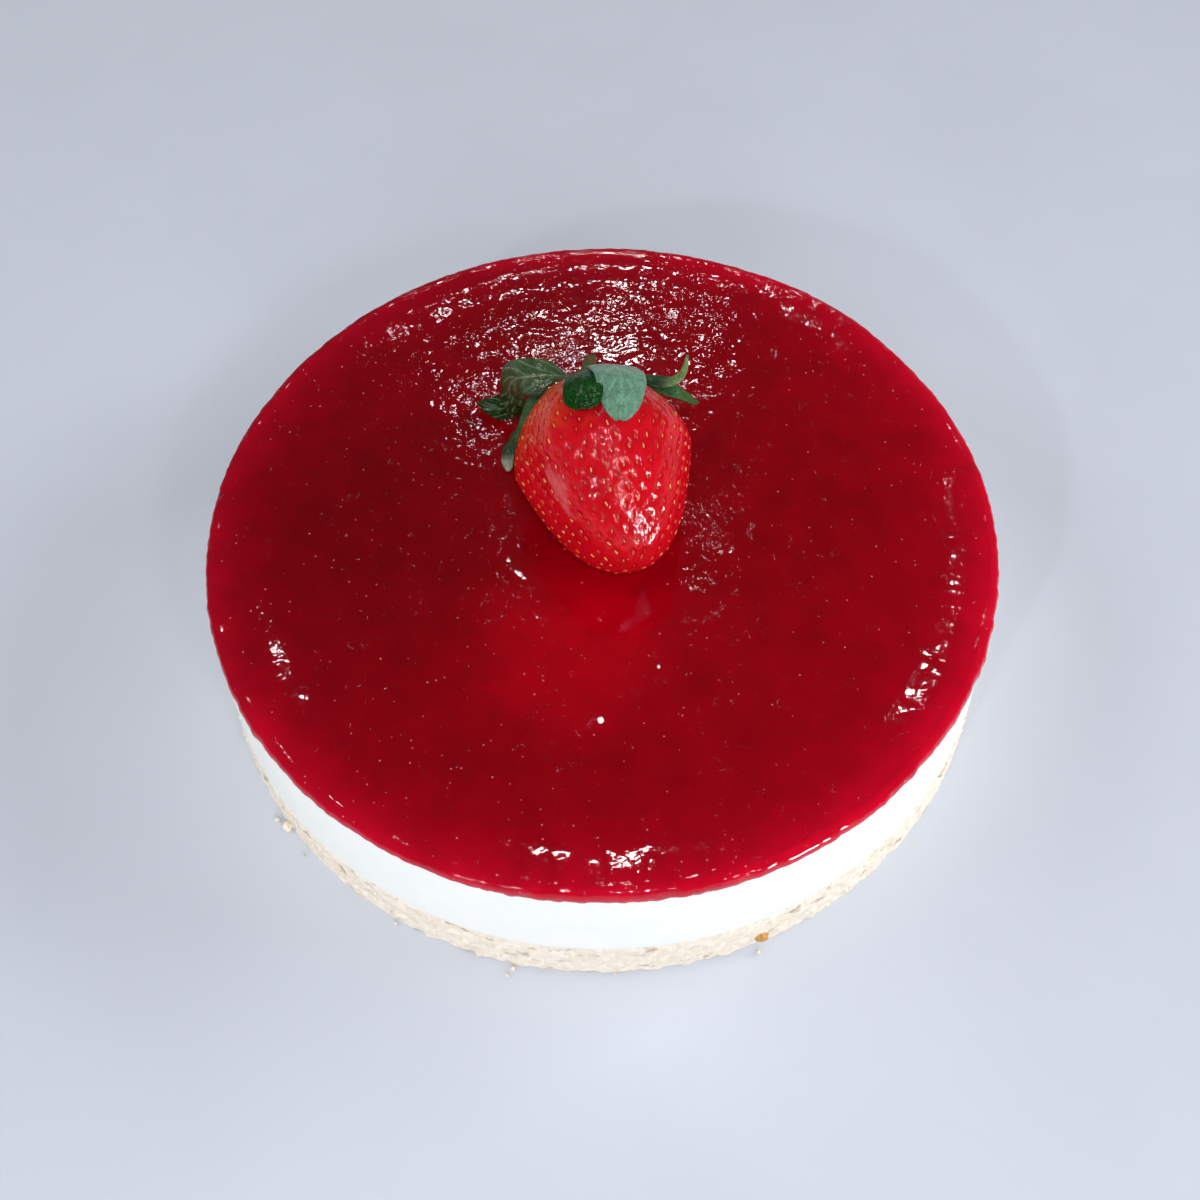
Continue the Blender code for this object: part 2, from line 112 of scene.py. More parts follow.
def add_node(
    tree: bpy.types.NodeTree,
    kind: str,
    inputs: Inputs | None = None,
    output: str | int = 0,
    stops: Stops = (),
    **settings: Any,
) -> Socket:
    """Adds a shader node with its settings and links.

    Args:
        tree: the material's node tree.
        kind: the node's type, without the "ShaderNode" that it starts with.
        inputs: for an input's name or number, its value or the output that feeds it.
        output: the name or number of the output that is wanted.
        stops: places and hex colours, where the node holds a colour ramp.
        settings: the node's own properties.

    Returns:
        The wanted output.
    """
    node = tree.nodes.new("ShaderNode" + kind)
    for name, value in settings.items():
        setattr(node, name, value)
    feed(tree, node, inputs or {})
    if stops:
        ramp = node.color_ramp.elements
        while len(ramp) < len(stops):
            ramp.new(0.5)
        for element, (place, code) in zip(ramp, stops):
            element.position = place
            element.color = linear_rgba(code)
    return node.outputs[output]


def per_mm(size_mm: float) -> float:
    """The texture scale that gives a pattern of about this size in millimetres."""
    return 1 / (size_mm * MM)


def ring_noise(angle: float, detail: float, offset: float) -> float:
    """Noise from -1 to 1 that runs round the cake and meets itself again."""
    return noise.noise(Vector((math.cos(angle) * detail, math.sin(angle) * detail, offset)))


def smooth_step(low: float, high: float, value: float) -> float:
    """0 below low, 1 above high, and a smooth way between them."""
    share = min(1.0, max(0.0, (value - low) / (high - low)))
    return share * share * (3 - 2 * share)


def bell(value: float, width: float) -> float:
    """1 where the value is 0, falling smoothly towards 0 a few widths away from there."""
    return math.exp(-((value / width) ** 2))


def bezier(points: Sequence[Vector | Point], share: float) -> Vector:
    """The point of a Bezier curve at a share of its way.

    Args:
        points: its control points.
        share: from 0 to 1.

    Returns:
        The point.
    """
    points = [Vector(point) for point in points]
    while len(points) > 1:
        points = [first.lerp(second, share) for first, second in zip(points, points[1:])]
    return points[0]


def through(points: Sequence[Vector | Point], share: float) -> Vector:
    """The point at a share of the way along a smooth curve that runs through all the points.

    Args:
        points: what the curve runs through.
        share: from 0 to 1.

    Returns:
        The point.
    """
    points = [Vector(point) for point in points]
    along = share * (len(points) - 1)
    start = min(int(along), len(points) - 2)
    rest = along - start
    second, third = points[start], points[start + 1]
    first = points[start - 1] if start else 2 * second - third
    fourth = points[start + 2] if start + 2 < len(points) else 2 * third - second
    bend = 2 * first - 5 * second + 4 * third - fourth
    twist = 3 * second - first - 3 * third + fourth
    return second + (rest * (third - first) + rest**2 * bend + rest**3 * twist) / 2


def make_active(piece: Piece) -> None:
    """Selects one piece alone and makes it the active one.

    Args:
        piece: the piece.
    """
    bpy.ops.object.select_all(action="DESELECT")
    piece.select_set(True)
    bpy.context.view_layer.objects.active = piece


@contextmanager
def editing(piece: Piece) -> Iterator[None]:
    """Opens a piece in edit mode with all of it selected, and closes it again.

    Args:
        piece: the piece.
    """
    make_active(piece)
    bpy.ops.object.mode_set(mode="EDIT")
    bpy.ops.mesh.select_all(action="SELECT")
    yield
    bpy.ops.object.mode_set(mode="OBJECT")


def apply_modifiers(piece: Piece) -> None:
    """Applies a piece's modifiers in their order.

    Args:
        piece: the piece.
    """
    make_active(piece)
    for modifier in list(piece.modifiers):
        bpy.ops.object.modifier_apply(modifier=modifier.name)


def added(name: str, operator: Callable[..., Any], **settings: Any) -> Piece:
    """Adds an object with nothing else selected.

    Args:
        name: its name.
        operator: what adds it.
        settings: the operator's settings.

    Returns:
        The object.
    """
    bpy.ops.object.select_all(action="DESELECT")
    operator(**settings)
    piece = bpy.context.object
    piece.name = name
    return piece


def turned(name: str, outline: Sequence[Spot], axis: TurnAxis, steps: int) -> Piece:
    """Draws an outline edge by edge, turns it once round an axis and closes its open ends.

    Args:
        name: the piece's name.
        outline: (radius, place along the axis) of its points.
        axis: the axis.
        steps: how many steps one turn takes.

    Returns:
        The closed piece, with its faces outwards.
    """
    upright = axis is TurnAxis.UPRIGHT
    points = [Vector((radius, 0, along) if upright else (radius, along, 0)) for radius, along in outline]
    piece = added(name, bpy.ops.mesh.primitive_plane_add, size=MM)
    with editing(piece):
        bpy.ops.mesh.merge(type="CENTER")
        bpy.ops.transform.translate(value=points[0])
        for start, end in zip(points, points[1:]):
            bpy.ops.mesh.extrude_region_move(TRANSFORM_OT_translate={"value": end - start})
    turn = piece.modifiers.new("turn", "SCREW")
    turn.axis = axis.value
    turn.steps = turn.render_steps = steps
    turn.use_merge_vertices = True
    turn.merge_threshold = MERGE
    apply_modifiers(piece)
    with editing(piece):
        bpy.ops.mesh.remove_doubles(threshold=MERGE)
        bpy.ops.mesh.fill_holes(sides=0)
        bpy.ops.mesh.normals_make_consistent(inside=False)
    return piece


def move_corners(piece: Piece, rule: Callable[[Vector], Vector]) -> None:
    """Moves every corner of a piece to where the rule says.

    Args:
        piece: the piece.
        rule: gives a corner's new place for its old one.
    """
    for corner in piece.data.vertices:
        corner.co = rule(corner.co.copy())
    piece.data.update()


def group_corners(piece: Piece, name: str, weight: Callable[[Vector], float]) -> str:
    """Makes a vertex group whose weights follow the corners' places.

    Args:
        piece: the piece.
        name: the group's name.
        weight: gives a corner's weight, from 0 to 1.

    Returns:
        The group's name.
    """
    group = piece.vertex_groups.new(name=name)
    for corner in piece.data.vertices:
        share = weight(corner.co)
        if share > 0:
            group.add([corner.index], share, "REPLACE")
    return name


def ripple(piece: Piece, size: float, height: float, group: str, way: ReliefWay = ReliefWay.OUT) -> None:
    """Adds a relief of one size to part of a piece.

    Args:
        piece: the piece.
        size: the size of its bumps.
        height: from its deepest to its highest place.
        group: the vertex group that it acts on.
        way: the direction that it goes in.
    """
    pattern = bpy.data.textures.new(f"{piece.name} relief", "CLOUDS")
    pattern.noise_scale = size
    relief = piece.modifiers.new("relief", "DISPLACE")
    relief.texture = pattern
    relief.texture_coords = "LOCAL"
    relief.direction = way.value
    relief.strength = height
    relief.mid_level = 0.5
    relief.vertex_group = group
    apply_modifiers(piece)


def write_shares(piece: Piece, **shares: Sequence[float]) -> None:
    """Stores one number for each corner under each name, by which the piece's material reads it."""
    for name, values in shares.items():
        piece.data.attributes.new(name, "FLOAT", "POINT").data.foreach_set("value", values)


def finish_piece(piece: Piece, look: "Finish", node: str = "", crease: float = 180) -> None:
    """Smooths and dresses a finished piece and ties it to the cake.

    Args:
        piece: the piece.
        look: its finish.
        node: the solid that it stands for, if it stands for one.
        crease: the angle in degrees past which an edge stays sharp.
    """
    piece.data.materials.clear()
    piece.data.materials.append(look.material())
    make_active(piece)
    bpy.ops.object.transform_apply(location=True, rotation=True, scale=True)
    bpy.ops.object.shade_smooth_by_angle(angle=math.radians(crease))
    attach(piece, BODY)
    if node:
        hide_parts(node)
    LOG.info("%s: %d faces", piece.name, len(piece.data.polygons))


def joined(pieces: Sequence[Piece], name: str) -> Piece:
    """Joins small pieces into one.

    Args:
        pieces: what to join.
        name: the joined piece's name.

    Returns:
        The joined piece.
    """
    bpy.ops.object.select_all(action="DESELECT")
    for piece in pieces:
        piece.select_set(True)
    bpy.context.view_layer.objects.active = pieces[0]
    bpy.ops.object.join()
    whole = bpy.context.object
    whole.name = name
    return whole


def copies(model: Piece, places: Sequence[Matrix]) -> list[Piece]:
    """Copies a model to each place, each copy with a mesh of its own, and removes the model.

    Args:
        model: what is copied.
        places: one matrix for each copy.

    Returns:
        The copies.
    """
    made = []
    for place in places:
        mesh = model.data.copy()
        mesh.transform(place)
        copy = bpy.data.objects.new(model.name, mesh)
        bpy.context.scene.collection.objects.link(copy)
        made.append(copy)
    bpy.data.objects.remove(model, do_unlink=True)
    return made


@dataclass(frozen=True)
class Finish:
    """What every finish has: a name, how rough it is, and how strongly it bends light."""

    name: str
    roughness: float
    ior: float = 1.45

    def inputs(self, add: AddNode) -> Inputs:
        """The shader's other inputs. Each finish has its own."""
        return {}

    def material(self) -> bpy.types.Material:
        """Makes the material.

        Returns:
            The material.
        """
        material = bpy.data.materials.new(self.name)
        material.use_nodes = True
        tree = material.node_tree
        own = self.inputs(partial(add_node, tree))
        feed(tree, tree.nodes["Principled BSDF"], {"Roughness": self.roughness, "IOR": self.ior, **own})
        return material


@dataclass(frozen=True)
class JellyFinish(Finish):
    """Set strawberry jelly: clear deep red over white cream, poured, so wet and glossy.

    Painted light: its red is painted brighter at the rim, where light comes in, and more so on the right,
    and a painted pool of light makes it brighter in front of the strawberry. Low bumps and tiny bubbles
    break up what it mirrors, and the bubbles' pale cores are painted glints.
    """

    radius: float = 100 * MM
    bump_mm: float = 3.4
    wrinkle_mm: float = 1.3
    bead_mm: float = 1.9
    bubble_mm: float = 2.3
    # The middle of the painted pool of light in front of the strawberry.
    light_pool_middle: Point = (-8 * MM, -36 * MM, 0)
    # From its middle to its rim: the brighter red towards the rim is painted light.
    tones: Stops = (
        (0.0, "#86000B"), (0.62, "#7F000B"), (0.77, "#82000D"), (0.83, "#88000F"), (0.87, "#900012"),
        (0.905, "#980116"), (0.935, "#A4021A"), (0.965, "#B20420"), (1.0, "#C00A2A"),
    )

    def inputs(self, add: AddNode) -> Inputs:
        """The jelly's red with its painted light, its bubbles with their painted glints, and its relief.

        Args:
            add: adds a node.

        Returns:
            The shader's inputs.
        """
        place = add("TexCoord", output="Object")
        flat = add("VectorMath", {0: place, 1: (1, 1, 0)}, operation="MULTIPLY")
        distance = add("VectorMath", {0: flat}, "Value", operation="LENGTH")
        cloud = add("TexNoise", {"Vector": place, "Scale": per_mm(26), "Detail": 3.0})
        wobble = add("MapRange", {"Value": cloud, "To Min": -0.045, "To Max": 0.045})
        share = add("Math", {0: distance, 1: 1 / (1.02 * self.radius), 2: wobble}, operation="MULTIPLY_ADD")
        # The red, painted brighter towards the rim where light comes in.
        depth = add("ValToRGB", {"Fac": share}, stops=self.tones)
        # Painted light: the jelly is brighter towards the right and the front.
        side = add("VectorMath", {0: place, 1: (0.94, -0.34, 0)}, "Value", operation="DOT_PRODUCT")
        edges = {"From Min": -self.radius, "From Max": self.radius}
        lit = add("MapRange", {"Value": side, **edges, "To Min": 0.81, "To Max": 1.34})
        # Painted pool of light in front of the strawberry, up to half as bright again.
        spot = add("VectorMath", {0: flat, 1: self.light_pool_middle}, "Value", operation="DISTANCE")
        light_pool = add(
            "MapRange",
            {"Value": spot, "From Min": 8 * MM, "From Max": 35 * MM, "To Min": 1.5, "To Max": 1.0},
            interpolation_type="SMOOTHSTEP",
        )
        mottle = add("TexNoise", {"Vector": place, "Scale": per_mm(9), "Detail": 3.0})
        patchy = add("MapRange", {"Value": mottle, "To Min": 0.71, "To Max": 1.26})
        bright = add("Math", {0: lit, 1: light_pool}, operation="MULTIPLY")
        # The painted light, with a random mottle.
        strength = add("Math", {0: bright, 1: patchy}, operation="MULTIPLY")
        red = add("VectorMath", {0: depth, "Scale": strength}, operation="SCALE")
        cells = add("TexVoronoi", {"Vector": place, "Scale": per_mm(self.bubble_mm)})
        dice = add("SeparateColor", {0: cells.node.outputs["Color"]})
        chosen = add("MapRange", {"Value": dice, "From Min": 0.55})
        dome = add(
            "MapRange",
            {"Value": cells, "From Min": 0.03, "From Max": 0.14, "To Min": 1.0, "To Max": 0.0},
            interpolation_type="SMOOTHSTEP",
        )
        bubble = add("Math", {0: dome, 1: chosen}, operation="MULTIPLY")
        # Painted glints: the bubbles' pale cores.
        pale = add("Math", {0: bubble, 1: 0.85}, operation="MULTIPLY")
        colour = add("Mix", {0: pale, 6: red, 7: linear_rgba("#FF9A90")}, 2, data_type="RGBA")
        bumps = add("TexNoise", {"Vector": place, "Scale": per_mm(self.bump_mm), "Detail": 1.5})
        fine = add("TexNoise", {"Vector": place, "Scale": per_mm(self.wrinkle_mm), "Detail": 1.0})
        patch = add("TexNoise", {"Vector": place, "Scale": per_mm(17), "Detail": 1.0})
        wrinkled = add(
            "MapRange", {"Value": patch, "From Min": 0.46, "From Max": 0.62, "To Min": 0.3, "To Max": 2.1}
        )
        wrinkles = add("Math", {0: fine, 1: wrinkled}, operation="MULTIPLY")
        drops = add("TexNoise", {"Vector": place, "Scale": per_mm(self.bead_mm), "Detail": 2.0})
        beads = add(
            "MapRange", {"Value": drops, "From Min": 0.64, "From Max": 0.74}, interpolation_type="SMOOTHSTEP"
        )
        relief: Inputs = {}
        for height, tall_mm in ((bumps, 0.13), (beads, 0.09), (wrinkles, 0.024), (bubble, 0.13)):
            relief = {"Normal": add("Bump", {"Height": height, "Distance": tall_mm * MM, **relief})}
        return {"Base Color": colour, **relief}


@dataclass(frozen=True)
class CreamFinish(Finish):
    """Set cream cheese, smoothed by the ring it was chilled in: white, soft and a little translucent."""

    smear_mm: float = 7.0
    grain_mm: float = 0.7
    tones: Stops = ((0.3, "#F5FAF6"), (0.7, "#F9FBF8"))

    def inputs(self, add: AddNode) -> Inputs:
        """The cream's white, its soft depth and its fine grain.

        Args:
            add: adds a node.

        Returns:
            The shader's inputs.
        """
        place = add("TexCoord", output="Object")
        cloud = add("TexNoise", {"Vector": place, "Scale": per_mm(self.smear_mm), "Detail": 2.0})
        grain = add("TexNoise", {"Vector": place, "Scale": per_mm(self.grain_mm), "Detail": 3.0})
        return {
            "Base Color": add("ValToRGB", {"Fac": cloud}, stops=self.tones),
            "Subsurface Weight": 0.25,
            "Subsurface Radius": (1.0, 0.9, 0.8),
            "Subsurface Scale": 3 * MM,
            "Normal": add("Bump", {"Height": grain, "Distance": 0.02 * MM}),
        }


@dataclass(frozen=True)
class BiscuitFinish(Finish):
    """Biscuit crumb pressed with butter: pale beige and dry, each crumb a little lighter or darker."""

    crumb_mm: float = 1.6
    fleck_mm: float = 6.0
    tones: Stops = ((0.0, "#E8DECC"), (0.3, "#EEE4D3"), (0.65, "#F3EADB"), (1.0, "#F7F0E4"))

    def inputs(self, add: AddNode) -> Inputs:
        """The crumbs' tones, the toasted flecks that lie between them, and their relief.

        Args:
            add: adds a node.

        Returns:
            The shader's inputs.
        """
        place = add("TexCoord", output="Object")
        crumbs = add("TexVoronoi", {"Vector": place, "Scale": per_mm(self.crumb_mm)})
        tone = add("SeparateColor", {0: crumbs.node.outputs["Color"]})
        base = add("ValToRGB", {"Fac": tone}, stops=self.tones)
        lying = add("VectorMath", {0: place, 1: (1, 1, 2.2)}, operation="MULTIPLY")
        cloud = add("TexNoise", {"Vector": lying, "Scale": per_mm(self.fleck_mm), "Detail": 4.0})
        toasted = add("MapRange", {"Value": cloud, "From Min": 0.59, "From Max": 0.68, "To Max": 0.7})
        grit = add("TexNoise", {"Vector": place, "Scale": per_mm(0.5), "Detail": 3.0})
        rough = add("Bump", {"Height": grit, "Distance": 0.15 * MM})
        return {
            "Base Color": add("Mix", {0: toasted, 6: base, 7: linear_rgba("#A58F70")}, 2, data_type="RGBA"),
            "Normal": add("Bump", {"Height": crumbs, "Distance": 0.2 * MM, "Normal": rough}, invert=True),
        }


@dataclass(frozen=True)
class SkinFinish(Finish):
    """Ripe strawberry skin: bright red, wet, drawn into fine streaks from tip to stalk.

    It turns orange on its upper left shoulder and has one pale pink patch. Painted shade makes it
    deeper red in its pits.
    """

    fold_mm: float = 1.8
    streak_mm: float = 0.6
    stretch: float = 4.5
    tones: Stops = ((0.3, "#BC0818"), (0.7, "#D40E1E"))

    def inputs(self, add: AddNode) -> Inputs:
        """The skin's reds, its soft depth and its streaks.

        Args:
            add: adds a node.

        Returns:
            The shader's inputs.
        """
        place = add("TexCoord", output="Object")
        cloud = add("TexNoise", {"Vector": place, "Scale": per_mm(9), "Detail": 3.0})
        colour = add("ValToRGB", {"Fac": cloud}, stops=self.tones)
        # The pits' deeper red is painted shade.
        for attribute, code in (("shoulder", "#E4501A"), ("pits", "#AE0410"), ("patch", "#DE6A70")):
            amount = add("Attribute", output="Fac", attribute_name=attribute)
            colour = add("Mix", {0: amount, 6: colour, 7: linear_rgba(code)}, 2, data_type="RGBA")
        drawn = {"Vector": place, "Rotation": Strawberry.turn_angles(), "Scale": (1, self.stretch, 1)}
        streaks = add("Mapping", drawn, vector_type="TEXTURE")
        relief: Inputs = {}
        for size_mm, detail in ((self.fold_mm, 1.5), (self.streak_mm, 2.0)):
            lines = add("TexNoise", {"Vector": streaks, "Scale": per_mm(size_mm), "Detail": detail})
            relief = {"Normal": add("Bump", {"Height": lines, "Distance": 0.15 * MM, **relief})}
        return {
            "Base Color": colour,
            "Subsurface Weight": 0.2,
            "Subsurface Radius": (1.0, 0.25, 0.2),
            "Subsurface Scale": 2 * MM,
            **relief,
        }


@dataclass(frozen=True)
class SeedFinish(Finish):
    """The dry seeds on the skin: straw yellow to orange, one a little unlike the next."""

    tones: Stops = ((0.0, "#C63C1C"), (0.5, "#D8682C"), (1.0, "#EAAA5C"))

    def inputs(self, add: AddNode) -> Inputs:
        """The seeds' tones."""
        tone = add("Attribute", output="Fac", attribute_name="tone")
        return {"Base Color": add("ValToRGB", {"Fac": tone}, stops=self.tones)}


@dataclass(frozen=True)
class LeafFinish(Finish):
    """A strawberry leaf: a green blade with paler veins, and another green towards its end."""

    blade: str = "#3E6842"
    end: str = "#2B5230"
    veins: str = "#7FA383"
    end_from: float = 0.6
    sheen: float = 0.0
    fuzz_mm: float = 0.8
    fuzz_height: float = 0.10 * MM
    net_mm: float = 1.5

    def inputs(self, add: AddNode) -> Inputs:
        """The leaf's greens, the fine net between its veins, and its down.

        Args:
            add: adds a node.

        Returns:
            The shader's inputs.
        """
        place = add("TexCoord", output="Object")
        along = add("Attribute", output="Fac", attribute_name="along")
        vein = add("Attribute", output="Fac", attribute_name="vein")
        turning = add(
            "MapRange", {"Value": along, "From Min": self.end_from - 0.06, "From Max": self.end_from + 0.06}
        )
        colour = linear_rgba(self.blade)
        for amount, code in ((turning, self.end), (vein, self.veins)):
            colour = add("Mix", {0: amount, 6: colour, 7: linear_rgba(code)}, 2, data_type="RGBA")
        bend = add("TexNoise", {"Vector": place, "Scale": per_mm(1.3), "Detail": 1.0}, "Color")
        bent = add("VectorMath", {0: bend, 1: (1.2 * MM,) * 3, 2: place}, operation="MULTIPLY_ADD")
        net = add("TexVoronoi", {"Vector": bent, "Scale": per_mm(self.net_mm)}, feature="DISTANCE_TO_EDGE")
        lines = add("MapRange", {"Value": net, "From Max": 0.12, "To Min": 0.66, "To Max": 1.0})
        cloud = add("TexNoise", {"Vector": place, "Scale": per_mm(2.2), "Detail": 4.0})
        mottle = add("MapRange", {"Value": cloud, "To Min": 0.45, "To Max": 1.55})
        shade = add("Math", {0: mottle, 1: lines}, operation="MULTIPLY")
        fuzz = add("TexNoise", {"Vector": place, "Scale": per_mm(self.fuzz_mm), "Detail": 3.0})
        down = add("Bump", {"Height": fuzz, "Distance": self.fuzz_height})
        return {
            "Base Color": add("VectorMath", {0: colour, "Scale": shade}, operation="SCALE"),
            "Sheen Weight": self.sheen,
            "Sheen Roughness": 0.4,
            "Normal": add("Bump", {"Height": lines, "Distance": 0.2 * MM, "Normal": down}),
        }


@dataclass(frozen=True)
class StalkFinish(Finish):
    """The cut stalk: dull olive skin with lengthways fibres, and a dark dried cut."""

    tones: Stops = ((0.1, "#3A441C"), (0.5, "#554C26"), (0.85, "#5E5130"), (1.0, "#2A1C14"))

    def inputs(self, add: AddNode) -> Inputs:
        """The stalk's tones and its fibres.

        Args:
            add: adds a node.

        Returns:
            The shader's inputs.
        """
        place = add("TexCoord", output="Object")
        along = add("Attribute", output="Fac", attribute_name="along")
        fibres = add("TexNoise", {"Vector": place, "Scale": per_mm(0.8), "Detail": 3.0})
        mixed = add("Math", {0: fibres, 1: 0.16, 2: along}, operation="MULTIPLY_ADD")
        return {
            "Base Color": add("ValToRGB", {"Fac": mixed}, stops=self.tones),
            "Normal": add("Bump", {"Height": fibres, "Distance": 0.15 * MM}),
        }


@dataclass(frozen=True)
class PlainFinish(Finish):
    """A finish with two close tones of one colour."""

    light: str = "#FFFFFF"
    dark: str = "#EEEEEE"
    grain_mm: float = 1.0

    def inputs(self, add: AddNode) -> Inputs:
        """The two tones and a fine grain.

        Args:
            add: adds a node.

        Returns:
            The shader's inputs.
        """
        place = add("TexCoord", output="Object")
        cloud = add("TexNoise", {"Vector": place, "Scale": per_mm(self.grain_mm), "Detail": 3.0})
        return {
            "Base Color": add("ValToRGB", {"Fac": cloud}, stops=((0.35, self.dark), (0.65, self.light))),
            "Normal": add("Bump", {"Height": cloud, "Distance": 0.1 * MM}),
        }


@dataclass(frozen=True)
class LayerSizes:
    """The cake's driving sizes, the same as its solids have."""

    radius: float = 100 * MM
    foot_radius: float = 104.2 * MM
    biscuit_top: float = 13.6 * MM
    cream_top: float = 40 * MM
    jelly_top: float = 42.9 * MM
    gap: float = 0.3 * MM
    flat_radius: float = 95 * MM
    line_wave: float = 0.9 * MM

    def rim_share(self, radius: float) -> float:
        """0 on the layers' flat middle and 1 at the rim."""
        return min(1.0, max(0.0, (radius - self.flat_radius) / (0.98 * self.radius - self.flat_radius)))

    def line_share(self, height: float) -> float:
        """1 at the line between biscuit and cream, falling to 0 at the faces below and above it."""
        above = (height - self.biscuit_top) / (self.cream_top - self.biscuit_top)
        return height / self.biscuit_top if above < 0 else max(0.0, 1 - above * 1.6)

    def line_shift(self, place: Vector) -> float:
        """How far the uneven line between biscuit and cream lifts or lowers a point near the rim.

        Args:
            place: the point.

        Returns:
            The rise, below 0 where it is lowered.
        """
        angle = math.atan2(place.y, place.x)
        radius = math.hypot(place.x, place.y)
        wave = ring_noise(angle, 2.6, 3.1) + 0.55 * ring_noise(angle, 7.0, 8.7)
        crumbs = 0.35 * ring_noise(angle, 38, 1.3) + 0.2 * ring_noise(angle, 90, 4.4)
        return self.line_wave * (wave + crumbs) * self.rim_share(radius) * self.line_share(place.z)


def rounded(points: Sequence[Spot], step: float) -> list[Spot]:
    """Runs a smooth curve through the points of an outline.

    Args:
        points: (radius, height) places.
        step: the distance between the points that come back.

    Returns:
        Evenly spread places on the curve.
    """
    raised = [Vector((radius, height, 0)) for radius, height in points]
    length = sum((second - first).length for first, second in zip(raised, raised[1:]))
    count = max(2, round(length / step))
    fine = [through(raised, share / (8 * count)) for share in range(8 * count + 1)]
    made = [(fine[0].x, fine[0].y)]
    run = 0.0
    for first, second in zip(fine, fine[1:]):
        run += (second - first).length
        if run >= step:
            made.append((second.x, second.y))
            run = 0.0
    made.append((fine[-1].x, fine[-1].y))
    return made


def straight(start: Spot, end: Spot, step: float) -> list[Spot]:
    """Evenly spread places on a straight line, without its first one.

    Args:
        start: its first (radius, height).
        end: its last one.
        step: the distance between places.

    Returns:
        The places.
    """
    wide, high = end[0] - start[0], end[1] - start[1]
    count = max(1, round(math.hypot(wide, high) / step))
    return [
        (start[0] + wide * number / count, start[1] + high * number / count) for number in range(1, count + 1)
    ]


